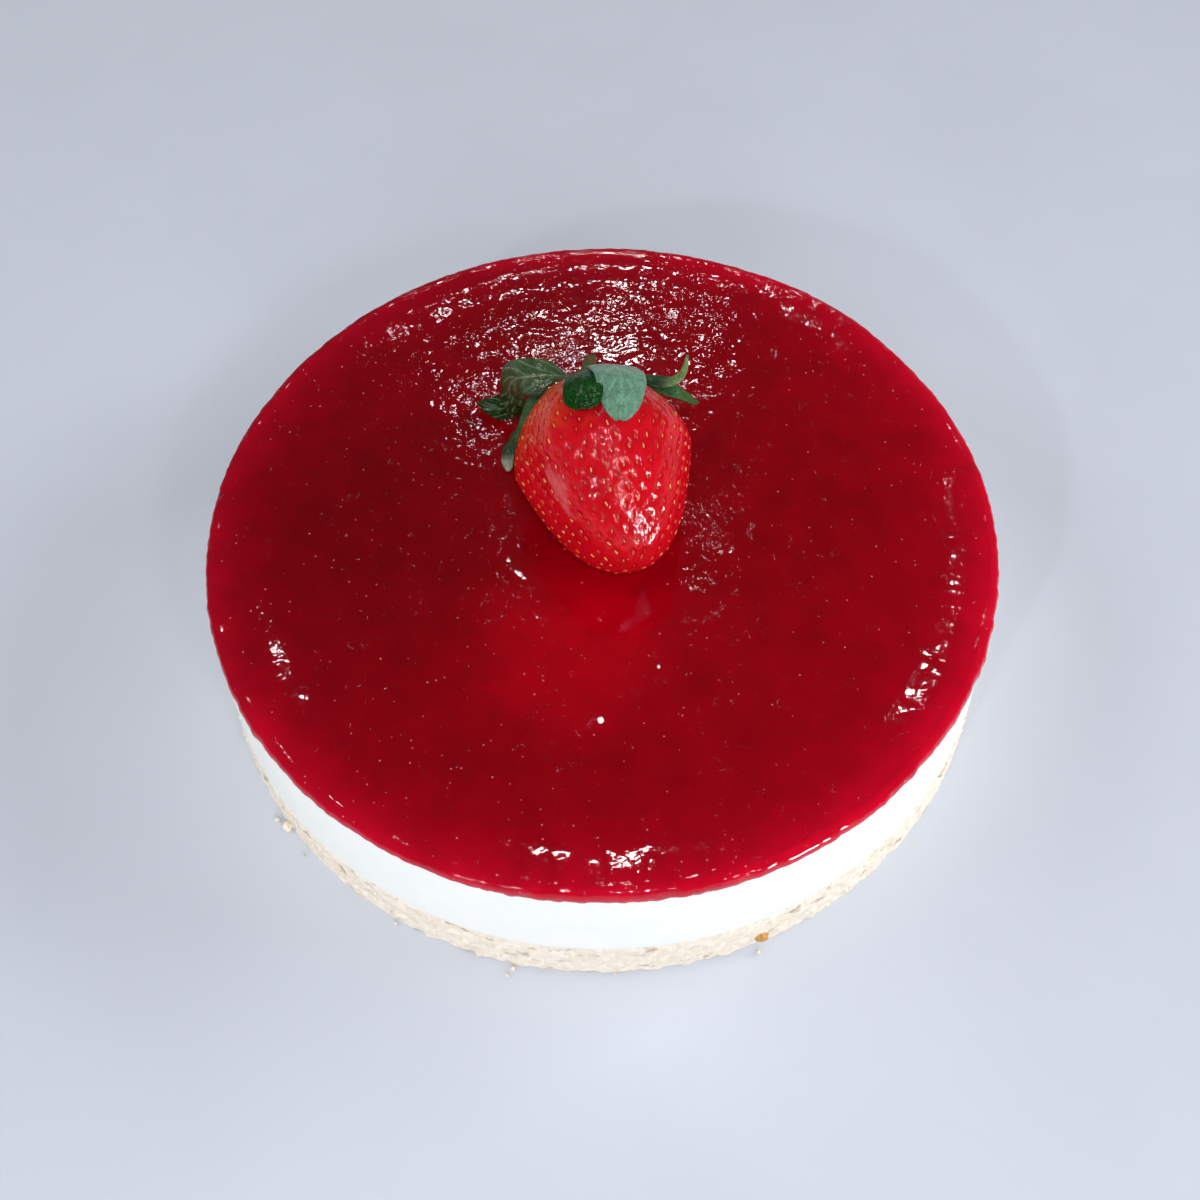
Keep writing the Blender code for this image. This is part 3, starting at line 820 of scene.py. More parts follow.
@dataclass
class BiscuitBase:
    """The pressed crumb base with its ragged side and the crumbs on and beside it.

    Each placed crumb is its angle in degrees, and its height, radius and size in millimetres.
    """

    sizes: LayerSizes
    steps: int = 1150
    step: float = 0.55 * MM
    corner: float = 0.5 * MM
    side_rings: int = 24
    reliefs: tuple[Spot, ...] = ((3.2 * MM, 1.4 * MM), (1.1 * MM, 0.7 * MM))
    crumb_count: int = 170
    loose_count: int = 26
    placed: tuple[Four, ...] = (
        (-141.3, 1.0, 104.6, 3.0), (-143.2, 0.5, 105.6, 1.3),
        (-119.8, 4.5, 103.0, 2.6), (-46.9, 8.0, 102.5, 2.2),
    )
    toasted_angle: float = math.radians(-69.2)
    toasted_height: float = 4.2 * MM
    toasted_size: Point = (2.6, 3.6, 3.8)

    def build(self) -> None:
        """Makes the base and its crumbs."""
        look = BiscuitFinish("pressed biscuit crumb", roughness=0.9, ior=1.4)
        finish_piece(self.make_body(), look, "biscuit_base")
        finish_piece(self.make_crumbs(), look)
        caramel = PlainFinish("caramelised biscuit crumb", 0.5, light="#E3A651", dark="#B87C38", grain_mm=0.8)
        finish_piece(self.make_toasted_crumb(), caramel)

    def side_radius(self, height: float) -> float:
        """The side's radius at a height, before its relief."""
        return self.sizes.foot_radius - 0.6 * MM - 1.6 * MM * (height / self.sizes.biscuit_top) ** 1.6

    def side_weight(self, place: Vector) -> float:
        """1 on the ragged side, and 0 underneath and on the flat middle."""
        outer = smooth_step(0.95, 0.99, math.hypot(place.x, place.y) / self.sizes.radius)
        return outer * smooth_step(-0.3 * MM, 0.6 * MM, place.z)

    def settle(self, place: Vector) -> Vector:
        """Gives a corner the layers' uneven line and keeps it off the floor and inside the foot.

        Args:
            place: the corner's place.

        Returns:
            Its new place.
        """
        radius = math.hypot(place.x, place.y)
        place.z += self.sizes.line_shift(place)
        place.z = max(0.0, place.z)
        if radius > self.sizes.foot_radius:
            place.x *= self.sizes.foot_radius / radius
            place.y *= self.sizes.foot_radius / radius
        return place

    def make_body(self) -> Piece:
        """The base, with its crumbly relief.

        Returns:
            The piece.
        """
        top = self.sizes.biscuit_top
        middle = self.sizes.flat_radius
        outline = [(middle, 0.0), (self.side_radius(0) - self.corner, 0.0)]
        for ring in range(self.side_rings + 1):
            height = self.corner + (top - 2 * self.corner) * ring / self.side_rings
            outline.append((self.side_radius(height), height))
        outline += straight((self.side_radius(top) - self.corner, top), (middle, top), self.step)
        piece = turned("biscuit_base_crumb", outline, TurnAxis.UPRIGHT, self.steps)
        side = group_corners(piece, "side", self.side_weight)
        for size, height in self.reliefs:
            ripple(piece, size, height, side)
        move_corners(piece, self.settle)
        return piece

    def crumb_model(self, seed: int) -> Piece:
        """One crumb about 1 mm across, broken unevenly.

        Args:
            seed: what tells one crumb's form from another's.

        Returns:
            The crumb, at the origin.
        """
        crumb = added("crumb", bpy.ops.mesh.primitive_ico_sphere_add, subdivisions=2, radius=0.5 * MM)
        shift = Vector((seed, 0, 0))
        move_corners(crumb, lambda place: place * (1 + 0.55 * noise.noise(place.normalized() * 1.7 + shift)))
        return crumb

    def hold(self, place: Vector, reach: float) -> Vector:
        """Keeps a place inside a square and off the floor.

        Args:
            place: the place.
            reach: half the square's side.

        Returns:
            The place, or the nearest one inside.
        """
        place.x = max(-reach, min(reach, place.x))
        place.y = max(-reach, min(reach, place.y))
        place.z = max(0.0, place.z)
        return place

    def make_crumbs(self) -> Piece:
        """Crumbs that stand out of the side, and loose ones that fell beside the foot.

        Returns:
            The piece.
        """
        foot = self.sizes.foot_radius
        draw = random.Random(11)
        forms: list[list[Matrix]] = [[], [], [], []]
        for number in range(self.crumb_count + self.loose_count):
            angle = draw.uniform(0, math.tau)
            size = draw.uniform(0.8, 2.3)
            if number >= self.crumb_count:
                size = draw.uniform(0.5, 1.3)
                radius = foot + draw.uniform(0.2, 2.6) * MM
                height = 0.42 * size * MM
            else:
                height = draw.uniform(0.6 * MM, self.sizes.biscuit_top - 0.7 * MM)
                radius = self.side_radius(height) - 0.25 * size * MM
            place = Vector((radius * math.cos(angle), radius * math.sin(angle), height))
            place = self.hold(place, foot + 0.2 * MM - 0.5 * size * MM)
            turn = draw.uniform(0, math.tau)
            spin = Matrix.Rotation(turn, 4, Vector((draw.random(), draw.random(), 1)).normalized())
            forms[number % 4].append(Matrix.Translation(place) @ spin @ Matrix.Scale(size, 4))
        for number, (angle, height, radius, size) in enumerate(self.placed):
            turn = Matrix.Rotation(math.radians(angle), 4, "Z")
            place = Matrix.Translation((radius * MM, 0, height * MM))
            forms[number % 4].append(turn @ place @ Matrix.Scale(size, 4))
        made = []
        for seed, places in enumerate(forms):
            made += copies(self.crumb_model(seed), places)
        whole = joined(made, "biscuit_crumbs")
        move_corners(whole, lambda place: self.hold(place, foot))
        return whole

    def make_toasted_crumb(self) -> Piece:
        """The one caramelised crumb at the front right.

        Returns:
            The piece.
        """
        radius = self.side_radius(self.toasted_height) - 0.1 * MM
        side = Matrix.Translation((radius, 0, self.toasted_height))
        turn = Matrix.Rotation(self.toasted_angle, 4, "Z")
        shape = Matrix.Diagonal((*self.toasted_size, 1))
        return joined(copies(self.crumb_model(9), [turn @ side @ shape]), "toasted_crumb")


@dataclass
class CreamLayer:
    """The set cream cheese layer."""

    sizes: LayerSizes
    steps: int = 900
    step: float = 0.7 * MM
    reliefs: tuple[Spot, ...] = ((14 * MM, 0.44 * MM), (3.5 * MM, 0.12 * MM))

    def outline(self) -> list[Spot]:
        """The layer's (radius, height) places from its underside round its side to its top.

        Returns:
            The places.
        """
        radius = self.sizes.radius
        foot = self.sizes.biscuit_top
        top = self.sizes.cream_top
        side = (
            (1.0165 * radius, foot), (1.0215 * radius, foot + 1.0 * MM), (1.0195 * radius, foot + 4 * MM),
            (1.0085 * radius, foot + 0.48 * (top - foot)), (0.996 * radius, top - 6 * MM),
            (0.988 * radius, top - 0.9 * MM), (0.981 * radius, top),
        )
        return [(self.sizes.flat_radius, foot), *rounded(side, self.step), (self.sizes.flat_radius, top)]

    def side_weight(self, place: Vector) -> float:
        """Says how much of the side's unevenness a corner gets.

        Args:
            place: the corner's place.

        Returns:
            1 on the side, and 0 at its foot and on the flat middle.
        """
        foot = self.sizes.biscuit_top
        outer = smooth_step(0.965, 0.98, math.hypot(place.x, place.y) / self.sizes.radius)
        return outer * smooth_step(foot - 0.1 * MM, foot + 3 * MM, place.z)

    def settle(self, place: Vector) -> Vector:
        """Gives a corner the layers' uneven line."""
        place.z += self.sizes.line_shift(place)
        return place

    def build(self) -> None:
        """Makes the layer."""
        piece = turned("cream_cheese_layer", self.outline(), TurnAxis.UPRIGHT, self.steps)
        side = group_corners(piece, "side", self.side_weight)
        for size, height in self.reliefs:
            ripple(piece, size, height, side)
        move_corners(piece, self.settle)
        look = CreamFinish("set cream cheese", roughness=0.42, ior=1.4)
        finish_piece(piece, look, "cream_layer")


@dataclass
class Strawberry:
    """The whole strawberry, lying on its side with its tip to the front."""

    length: float = 49.6 * MM
    radius: float = 23.1 * MM
    tip_mm: Point = (4.5, -24.4, 54.0)
    tilt: float = math.radians(18)
    yaw: float = math.radians(9.7)
    widest: float = 0.59
    flank_share: float = 0.66
    tip_bend: float = 2.8 * MM
    flat_side_angle: float = math.radians(-68)
    flat_side_depth: float = 0.16
    ridge_angle: float = math.radians(-34)
    ridge_height: float = 0.014
    facet_angle: float = math.radians(20)
    facet_along: float = 0.27
    facet_depth: float = 0.035
    patch_angle: float = math.radians(-47)
    patch_along: float = 0.37
    steps: int = 330
    rings: int = 250
    rounding: int = 160
    samples: int = 600
    seed_spacing: float = 3.7 * MM
    seed_size: Point = (0.21, 0.6, 0.22)
    seed_sink: float = 0.17 * MM
    pit_radius: float = 1.35 * MM
    pit_depth: float = 0.34 * MM

    @classmethod
    def matrix(cls) -> Matrix:
        """The strawberry's frame: +X to its right, +Y from tip to stalk, +Z its upper side.

        Returns:
            The frame.
        """
        right = Vector((math.cos(cls.yaw), math.sin(cls.yaw), 0))
        level = Vector((-math.sin(cls.yaw), math.cos(cls.yaw), 0))
        axis = level * math.cos(cls.tilt) + Vector((0, 0, math.sin(cls.tilt)))
        turn = Matrix((right, axis, right.cross(axis))).transposed().to_4x4()
        return Matrix.Translation(Vector(cls.tip_mm) * MM) @ turn

    @classmethod
    def turn_angles(cls) -> Point:
        """The angles that turn a pattern into the strawberry's own direction."""
        return tuple(cls.matrix().to_euler())

    def profile(self, share: float) -> Spot:
        """The bare skin's outline from the tip round to the stalk's dip.

        Args:
            share: the share of that way.

        Returns:
            (distance from the tip, radius).
        """
        flank = ((0, 0, 0), (-0.010, 0.663, 0), (0.553, 0.96, 0), (self.widest, 1, 0))
        shoulder = ((self.widest, 1, 0), (0.81, 1.03, 0), (1.03, 0.31, 0), (0.985, 0.33, 0), (0.93, 0, 0))
        if share < self.flank_share:
            point = bezier(flank, share / self.flank_share)
        else:
            point = bezier(shoulder, (share - self.flank_share) / (1 - self.flank_share))
        return point.x * self.length, point.y * self.radius

    def skin_point(self, place: Vector) -> Vector:
        """Gives a point of the evenly turned strawberry the real one's uneven section and bent tip.

        Args:
            place: the point, in the strawberry's frame.

        Returns:
            Its new place.
        """
        along = min(1.0, max(0.0, place.y / self.length))
        angle = math.atan2(place.x, place.z)
        belly = math.sin(math.pi * along)
        flat_left = bell(angle - self.flat_side_angle, 0.55)
        ridge = bell(angle - self.ridge_angle, 0.22)
        facet = bell(angle - self.facet_angle, 0.32) * bell(along - self.facet_along, 0.15)
        swell = 0.018 * math.cos(2 * angle + 0.6) + 0.012 * math.cos(3 * angle - 1.1)
        factor = 1 + belly * (swell - self.flat_side_depth * flat_left + self.ridge_height * ridge)
        factor -= self.facet_depth * facet
        bend = self.tip_bend * (1 - along) ** 2
        return Vector((place.x * factor + bend, place.y, place.z * factor))

    def place(self, share: float, angle: float) -> Vector:
        """A place on the bare skin. The angle runs from the upper side towards the right."""
        along, out = self.profile(share)
        return self.matrix() @ self.skin_point(Vector((out * math.sin(angle), along, out * math.cos(angle))))

    def make_skin(self) -> Piece:
        """The skin without its pits.

        Returns:
            The piece.
        """
        outline = [self.profile(ring / self.rings)[::-1] for ring in range(self.rings + 1)]
        first, last = round(0.5 * self.rings), round(0.84 * self.rings)
        for _ in range(self.rounding):
            for ring in range(first, last):
                before, here, after = outline[ring - 1 : ring + 2]
                outline[ring] = tuple((a + 2 * b + c) / 4 for a, b, c in zip(before, here, after))
        piece = turned("strawberry_skin", outline, TurnAxis.FORWARDS, self.steps)
        own_frame = self.matrix()
        move_corners(piece, lambda place: own_frame @ self.skin_point(place))
        return piece

    def seed_seats(self, skin: BVHTree) -> list[Matrix]:
        """Where the seeds sit: each seat's +Y runs towards the stalk and its +Z out of the skin.

        Args:
            skin: the bare skin.

        Returns:
            One matrix for each seed, in staggered rings.
        """
        draw = random.Random(5)
        rings: list[Spot] = []
        length = 0.0
        last = Vector((0, 0))
        for sample in range(1, self.samples):
            share = sample / self.samples
            point = Vector(self.profile(share))
            length += (point - last).length
            last = point
            if length >= self.seed_spacing * 0.82 * (len(rings) + 0.8) and share < 0.955:
                rings.append((share, point.y))
        seats = []
        for ring, (share, radius) in enumerate(rings):
            count = max(3, round(math.tau * radius / self.seed_spacing))
            for seed in range(count):
                near = share + draw.uniform(-0.011, 0.011)
                angle = math.tau * (seed + 0.5 * (ring % 2)) / count + draw.uniform(-0.75, 0.75) / count
                found, normal, _, _ = skin.find_nearest(self.place(near, angle))
                ahead = self.place(near + 0.01, angle) - self.place(near - 0.01, angle)
                across = ahead.cross(normal).normalized()
                turn = Matrix((across, normal.cross(across), normal)).transposed().to_4x4()
                seats.append(Matrix.Translation(found) @ turn)
        return seats

    def press_pits(self, piece: Piece, seats: Sequence[Matrix]) -> None:
        """Sinks the skin into a pit round each seed, and stores what the skin's colours need.

        Args:
            piece: the skin.
            seats: where the seeds sit.
        """
        tree = kdtree.KDTree(len(seats))
        for number, seat in enumerate(seats):
            tree.insert(seat.translation, number)
        tree.balance()
        away = [seat.inverted() for seat in seats]
        back = self.matrix().inverted()
        shares: dict[str, list[float]] = {"pits": [], "patch": [], "shoulder": []}
        places = []
        for corner in piece.data.vertices:
            _, number, _ = tree.find(corner.co)
            near = away[number] @ corner.co
            spread = math.hypot(near.x / (0.78 * self.pit_radius), near.y / (1.15 * self.pit_radius))
            depth = math.exp(-2.2 * spread**2) - 0.12 * math.exp(-((spread - 1.25) ** 2) / 0.08)
            uneven = 0.7 + 0.5 * noise.noise(corner.co * per_mm(6))
            places.append(corner.co - corner.normal * self.pit_depth * depth * uneven)
            # Painted shade: the skin is darker red in the pits.
            shares["pits"].append(max(0.0, min(1.0, 1.15 * math.exp(-3.0 * spread**2))))
            own = back @ corner.co
            angle = math.atan2(own.x, own.z)
            along = own.y / self.length
            ragged = 0.25 * noise.noise(corner.co * per_mm(3.2)) + 0.12 * noise.noise(corner.co * per_mm(1.1))
            further = along - self.patch_along
            band = (angle - self.patch_angle + 0.25 * further) / math.radians(10)
            reach = further / 0.14
            shares["patch"].append(0.6 * smooth_step(0.0, 0.9, 1 - band**2 - reach**2 + 3.2 * ragged))
            left = smooth_step(math.radians(8), math.radians(-40), angle)
            shares["shoulder"].append(0.75 * left * smooth_step(0.52, 0.9, along + ragged * 0.5))
        for corner, place in zip(piece.data.vertices, places):
            corner.co = place
        piece.data.update()
        write_shares(piece, **shares)

    def make_seeds(self, seats: Sequence[Matrix]) -> Piece:
        """The seeds in their pits.

        Args:
            seats: where they sit.

        Returns:
            The piece.
        """
        model = added("seed", bpy.ops.mesh.primitive_uv_sphere_add, segments=8, ring_count=6, radius=MM)
        with editing(model):
            bpy.ops.transform.rotate(value=math.pi / 2, orient_axis="X", center_override=(0, 0, 0))
            bpy.ops.transform.resize(value=self.seed_size, center_override=(0, 0, 0))
        corners = len(model.data.vertices)
        draw = random.Random(21)
        places = []
        for seat in seats:
            size = draw.uniform(0.6, 1.15)
            lie = Matrix.Rotation(draw.uniform(-0.3, 0.3), 4, "Z") @ Matrix.Scale(size, 4)
            places.append(seat @ Matrix.Translation((0, 0, -self.seed_sink)) @ lie)
        tones = [draw.random() for _ in places]
        whole = joined(copies(model, places), "strawberry_seeds")
        write_shares(whole, tone=[tone for tone in tones for _ in range(corners)])
        return whole

    def build(self) -> BVHTree:
        """Makes the skin and the seeds.

        Returns:
            The bare skin, for what lies against it.
        """
        piece = self.make_skin()
        bare = BVHTree.FromObject(piece, bpy.context.evaluated_depsgraph_get())
        seats = self.seed_seats(bare)
        self.press_pits(piece, seats)
        skin = SkinFinish("wet strawberry skin", roughness=0.04, ior=1.45)
        finish_piece(piece, skin, "strawberry_fruit")
        seeds = SeedFinish("dry strawberry seeds", roughness=0.35)
        finish_piece(self.make_seeds(seats), seeds)
        return bare


@dataclass(frozen=True)
class PourMark:
    """A low curved ridge that the pouring left, in millimetres and degrees from +X towards +Y."""

    x: float
    y: float
    radius: float
    start: float
    end: float
    height: float = 0.07
    width: float = 1.1

    def rise(self, place: Vector) -> float:
        """How far it lifts the jelly at a place.

        Args:
            place: the place, in metres.

        Returns:
            The rise, in metres.
        """
        away = Vector((place.x / MM - self.x, place.y / MM - self.y))
        across = (away.length - self.radius) / self.width
        if abs(across) > 3:
            return 0.0
        middle = math.radians((self.start + self.end) / 2)
        turn = abs(math.remainder(math.atan2(away.y, away.x) - middle, math.tau))
        reach = math.radians((self.end - self.start) / 2)
        return self.height * MM * bell(across, 1) * smooth_step(reach, 0.75 * reach, turn)


@dataclass(frozen=True)
class HighPlace:
    """A stretch where the jelly's lip stands higher: its middle and reach in degrees, and its strength."""

    angle: float
    reach: float
    radius: float
    strength: float

    def share(self, angle: float, radius: float) -> float:
        """How strong it is at an angle in degrees and a share of the jelly's radius."""
        here = self.strength * bell(math.remainder(angle - self.angle, 360), self.reach)
        return here * smooth_step(self.radius - 0.052, self.radius + 0.048, radius)


@dataclass
class JellyLayer:
    """The poured jelly with its raised lip, its wavy lower edge and the strawberry's seat in it.

    Each speck is its place to the right and to the back, its width and its depth, in millimetres.
    """

    sizes: LayerSizes
    skin: BVHTree
    steps: int = 720
    step: float = 0.85 * MM
    lip_step: float = 0.4 * MM
    ripples: tuple[Spot, ...] = ((7 * MM, 0.24 * MM), (4.2 * MM, 0.13 * MM))
    edge_relief: Spot = (2.4 * MM, 0.26 * MM)
    droop: float = 1.1 * MM
    edge_wave: float = 0.45 * MM
    seat_gap: float = 0.03 * MM
    meniscus: float = 0.55 * MM
    low_lip: float = 0.45 * MM
    high_lip: float = 1.45 * MM
    ridge: float = 0.22 * MM
    high_places: tuple[HighPlace, ...] = (
        HighPlace(-31, 13, 0.9, 1.1),
        HighPlace(-12, 12, 0.905, 1.1),
        HighPlace(6, 9, 0.915, 0.85),
        HighPlace(48, 10, 0.93, 0.9),
        HighPlace(-88, 19, 0.93, 1.05),
        HighPlace(-152, 18, 0.86, 0.85),
    )
    marks: tuple[PourMark, ...] = (
        PourMark(5.5, 78, 13, -165, -15),
        PourMark(-12, 84, 18, -150, -85),
        PourMark(24, 88, 14, -150, -60),
        PourMark(-46, 46, 24, 20, 80),
        PourMark(-30, 30, 22, 60, 120),
    )
    specks: tuple[Four, ...] = ((-1.0, -57.7, 1.5, 1.7), (12.9, -44.0, 0.7, 0.9))

    def outline(self) -> list[Spot]:
        """The layer's (radius, height) places from its underside round the lip to the middle of its top.

        Returns:
            The places.
        """
        radius = self.sizes.radius
        floor = self.sizes.cream_top + self.sizes.gap
        crest = self.sizes.jelly_top
        lip = (
            (0.9945 * radius, floor - 0.5 * MM), (radius, floor + 0.6 * MM),
            (0.9985 * radius, floor + 1.6 * MM), (0.991 * radius, crest - 0.35 * MM),
            (0.978 * radius, crest - 0.02 * MM), (0.960 * radius, crest),
        )
        flat = straight((0.960 * radius, crest), (0.0, crest), self.step)
        under = floor - 0.25 * MM
        foot = [(self.sizes.flat_radius, under), (0.985 * radius, under)]
        return [*foot, *rounded(lip, self.lip_step), *flat[:-1], (0.0, crest)]

    def build(self) -> None:
        """Makes the layer and the specks on it."""
        piece = turned("strawberry_jelly_layer", self.outline(), TurnAxis.UPRIGHT, self.steps)
        move_corners(piece, self.wave_edge)
        upper = group_corners(piece, "upper", self.unevenness)
        for size, height in self.ripples:
            ripple(piece, size, height, upper, ReliefWay.UP)
        ripple(piece, *self.edge_relief, group_corners(piece, "edge", self.edge_weight))
        move_corners(piece, self.raise_lip)
        move_corners(piece, self.seat)
        look = JellyFinish("poured strawberry jelly", roughness=0.05, ior=1.37)
        finish_piece(piece, look, "strawberry_jelly")
        self.make_specks()

    def edge_weight(self, place: Vector) -> float:
        """1 at the outermost edge and 0 inside it."""
        return smooth_step(0.955, 0.985, math.hypot(place.x, place.y) / self.sizes.radius)

    def unevenness(self, place: Vector) -> float:
        """How strong the ripples are at a place: they come in patches, and only on the top.

        Args:
            place: the place.

        Returns:
            From 0 to 1.
        """
        patch = noise.noise(place * per_mm(24) + Vector((3.7, 1.2, 0)))
        top = self.sizes.jelly_top
        upper = smooth_step(top - 1.2 * MM, top - 0.3 * MM, place.z)
        return upper * (0.4 + 0.6 * smooth_step(0.0, 0.4, patch))

    def raise_lip(self, place: Vector) -> Vector:
        """Raises the lip, in some places more than in others, and adds the pour marks.

        Args:
            place: a corner's place.

        Returns:
            Its new place.
        """
        top = self.sizes.jelly_top
        upper = smooth_step(top - 1.6 * MM, top - 0.3 * MM, place.z)
        if upper == 0:
            return place
        angle = math.degrees(math.atan2(place.y, place.x))
        radius = math.hypot(place.x, place.y) / self.sizes.radius
        turn = math.radians(angle)
        wavering = radius + 0.015 * ring_noise(turn, 15, 3.3)
        high = max(high_place.share(angle, wavering) for high_place in self.high_places)
        high *= 1 + 0.45 * ring_noise(turn, 19, 9.4)
        crest = 0.976 + 0.004 * ring_noise(turn, 9, 6.1)
        rise = self.low_lip * smooth_step(0.835, 0.925, radius) + (self.high_lip - self.low_lip) * high
        rise += self.ridge * bell(radius - crest, 0.0045) * (0.7 + ring_noise(turn, 14, 5.2))
        rise += sum(mark.rise(place) for mark in self.marks)
        place.z += rise * upper
        return place

    def wave_edge(self, place: Vector) -> Vector:
        """Makes the lip's lower edge droop and its outermost line wave.

        Args:
            place: a corner's place.

        Returns:
            Its new place.
        """
        angle = math.atan2(place.y, place.x)
        radius = math.hypot(place.x, place.y)
        floor = self.sizes.cream_top + self.sizes.gap
        outer = smooth_step(0.985, 1.0, radius / self.sizes.radius)
        low = smooth_step(floor + 1.2 * MM, floor - 0.2 * MM, place.z)
        droop = max(0.0, ring_noise(angle, 5.0, 1.7) + 0.5 * ring_noise(angle, 17, 4.2) + 0.3)
        teeth = 0.7 * ring_noise(angle, 55, 2.2) + 0.4 * ring_noise(angle, 110, 8.2)
        place.z -= self.droop * (droop + teeth) * low * outer
        wave = 0.7 * ring_noise(angle, 2.2, 6.3) + 0.5 * ring_noise(angle, 8, 2.9)
        wave += 0.7 * ring_noise(angle, 45, 7.1)
        wider = 1 + self.edge_wave * wave * outer / max(radius, MM)
        place.x *= wider
        place.y *= wider
        return place

    def seat(self, place: Vector) -> Vector:
        """Lowers the jelly under the strawberry and draws it up where the two meet.

        Args:
            place: a corner's place.

        Returns:
            Its new place.
        """
        if place.z < self.sizes.jelly_top - 1 * MM:
            return place
        under, _, _, _ = self.skin.ray_cast(Vector((place.x, place.y, 0)), Vector((0, 0, 1)))
        if under is not None and under.z < place.z + 0.2 * MM:
            place.z = min(place.z, under.z - self.seat_gap)
            return place
        found, _, _, distance = self.skin.find_nearest(place)
        if found is not None and distance < 3 * MM:
            place.z += self.meniscus * math.exp(-distance / (0.7 * MM))
        return place

    def make_specks(self) -> None:
        """The two specks of cream on the jelly in front."""
        model = added("fleck", bpy.ops.mesh.primitive_ico_sphere_add, subdivisions=3, radius=0.5 * MM)
        move_corners(model, lambda place: place * (1 + 0.3 * noise.noise(place * per_mm(0.6))))
        height = self.sizes.jelly_top + 0.1 * MM
        places = [
            Matrix.Translation((x * MM, y * MM, height)) @ Matrix.Diagonal((width, depth, 0.7, 1))
            for x, y, width, depth in self.specks
        ]
        look = PlainFinish("speck of cream cheese", 0.5, light="#FFFFFF", dark="#F4F4F0")
        finish_piece(joined(copies(model, places), "cream_specks"), look)


@dataclass(frozen=True)
class LeafForm:
    """One leaf's form, in millimetres in the strawberry's own frame: right, along to the stalk, up."""

    name: str
    look: LeafFinish
    route: tuple[Point, ...]
    faces: tuple[Point, ...]
    half_width: float
    widest: float
    bluntness: float
    cup: float
    crinkle: float
    end_crinkle: float = 0.0

    def frame(self, share: float) -> tuple[Vector, Vector, Vector]:
        """The leaf's middle at a share of its length.

        Args:
            share: from 0 at its foot to 1 at its end.

        Returns:
            The middle place, the way across the leaf and the way out of its upper side.
        """
        ahead = through(self.route, min(1, share + 0.02)) - through(self.route, max(0, share - 0.02))
        across = ahead.cross(through(self.faces, share)).normalized()
        return through(self.route, share), across, across.cross(ahead).normalized()

    def half_width_at(self, side: float, share: float, number: int) -> float:
        """Half the leaf's width: narrow at its foot, rounded at its end, and not quite even.

        Args:
            side: from -1 to 1 across the leaf.
            share: from 0 to 1 along it.
            number: the leaf's number, which sets how its edge wavers.

        Returns:
            The width.
        """
        foot = 0.42
        swell = foot + (1 - foot) * math.sin(math.pi / 2 * min(1, share / self.widest))
        past = max(0.0, (share - 0.5) / 0.5)
        uneven = 0.05 * noise.noise(Vector((share * 9, number + math.copysign(3, side), 0)))
        return self.half_width * max(0.04, swell * (1 - past**self.bluntness) ** 0.6) * (1 + uneven)


class LeafLook(Enum):
    """The leaves' finishes."""

    GLOSSY = LeafFinish(
        "wet glossy strawberry leaf", 0.22, 1.33, blade="#0F4A0C", end="#0A3E09", veins="#1C621C",
        fuzz_mm=1.3, fuzz_height=0.04 * MM,
    )
    DOWNY = LeafFinish(
        "downy strawberry leaf", 0.6, blade="#45725A", end="#649579", veins="#93BDA4", sheen=0.25,
        fuzz_mm=0.5, net_mm=1.2,
    )
    # Its darker green end is painted shade: that part of the leaf hangs down into shade by the strawberry.
    GREY = LeafFinish(
        "grey-green strawberry leaf", 0.27, blade="#3A5230", end="#10360F", veins="#93A384", end_from=0.62
    )
    YOUNG = LeafFinish("young strawberry leaf", 0.4, blade="#123A16", end="#6C9058", veins="#7FA368")
    DARK = LeafFinish("dark strawberry leaf", 0.33, blade="#214A20", end="#2F6030", veins="#557F50")
    PALE = LeafFinish(
        "dry strawberry leaf", 0.55, blade="#2C3F24", end="#9A9E8A", veins="#7D8A6C", end_from=0.84
    )


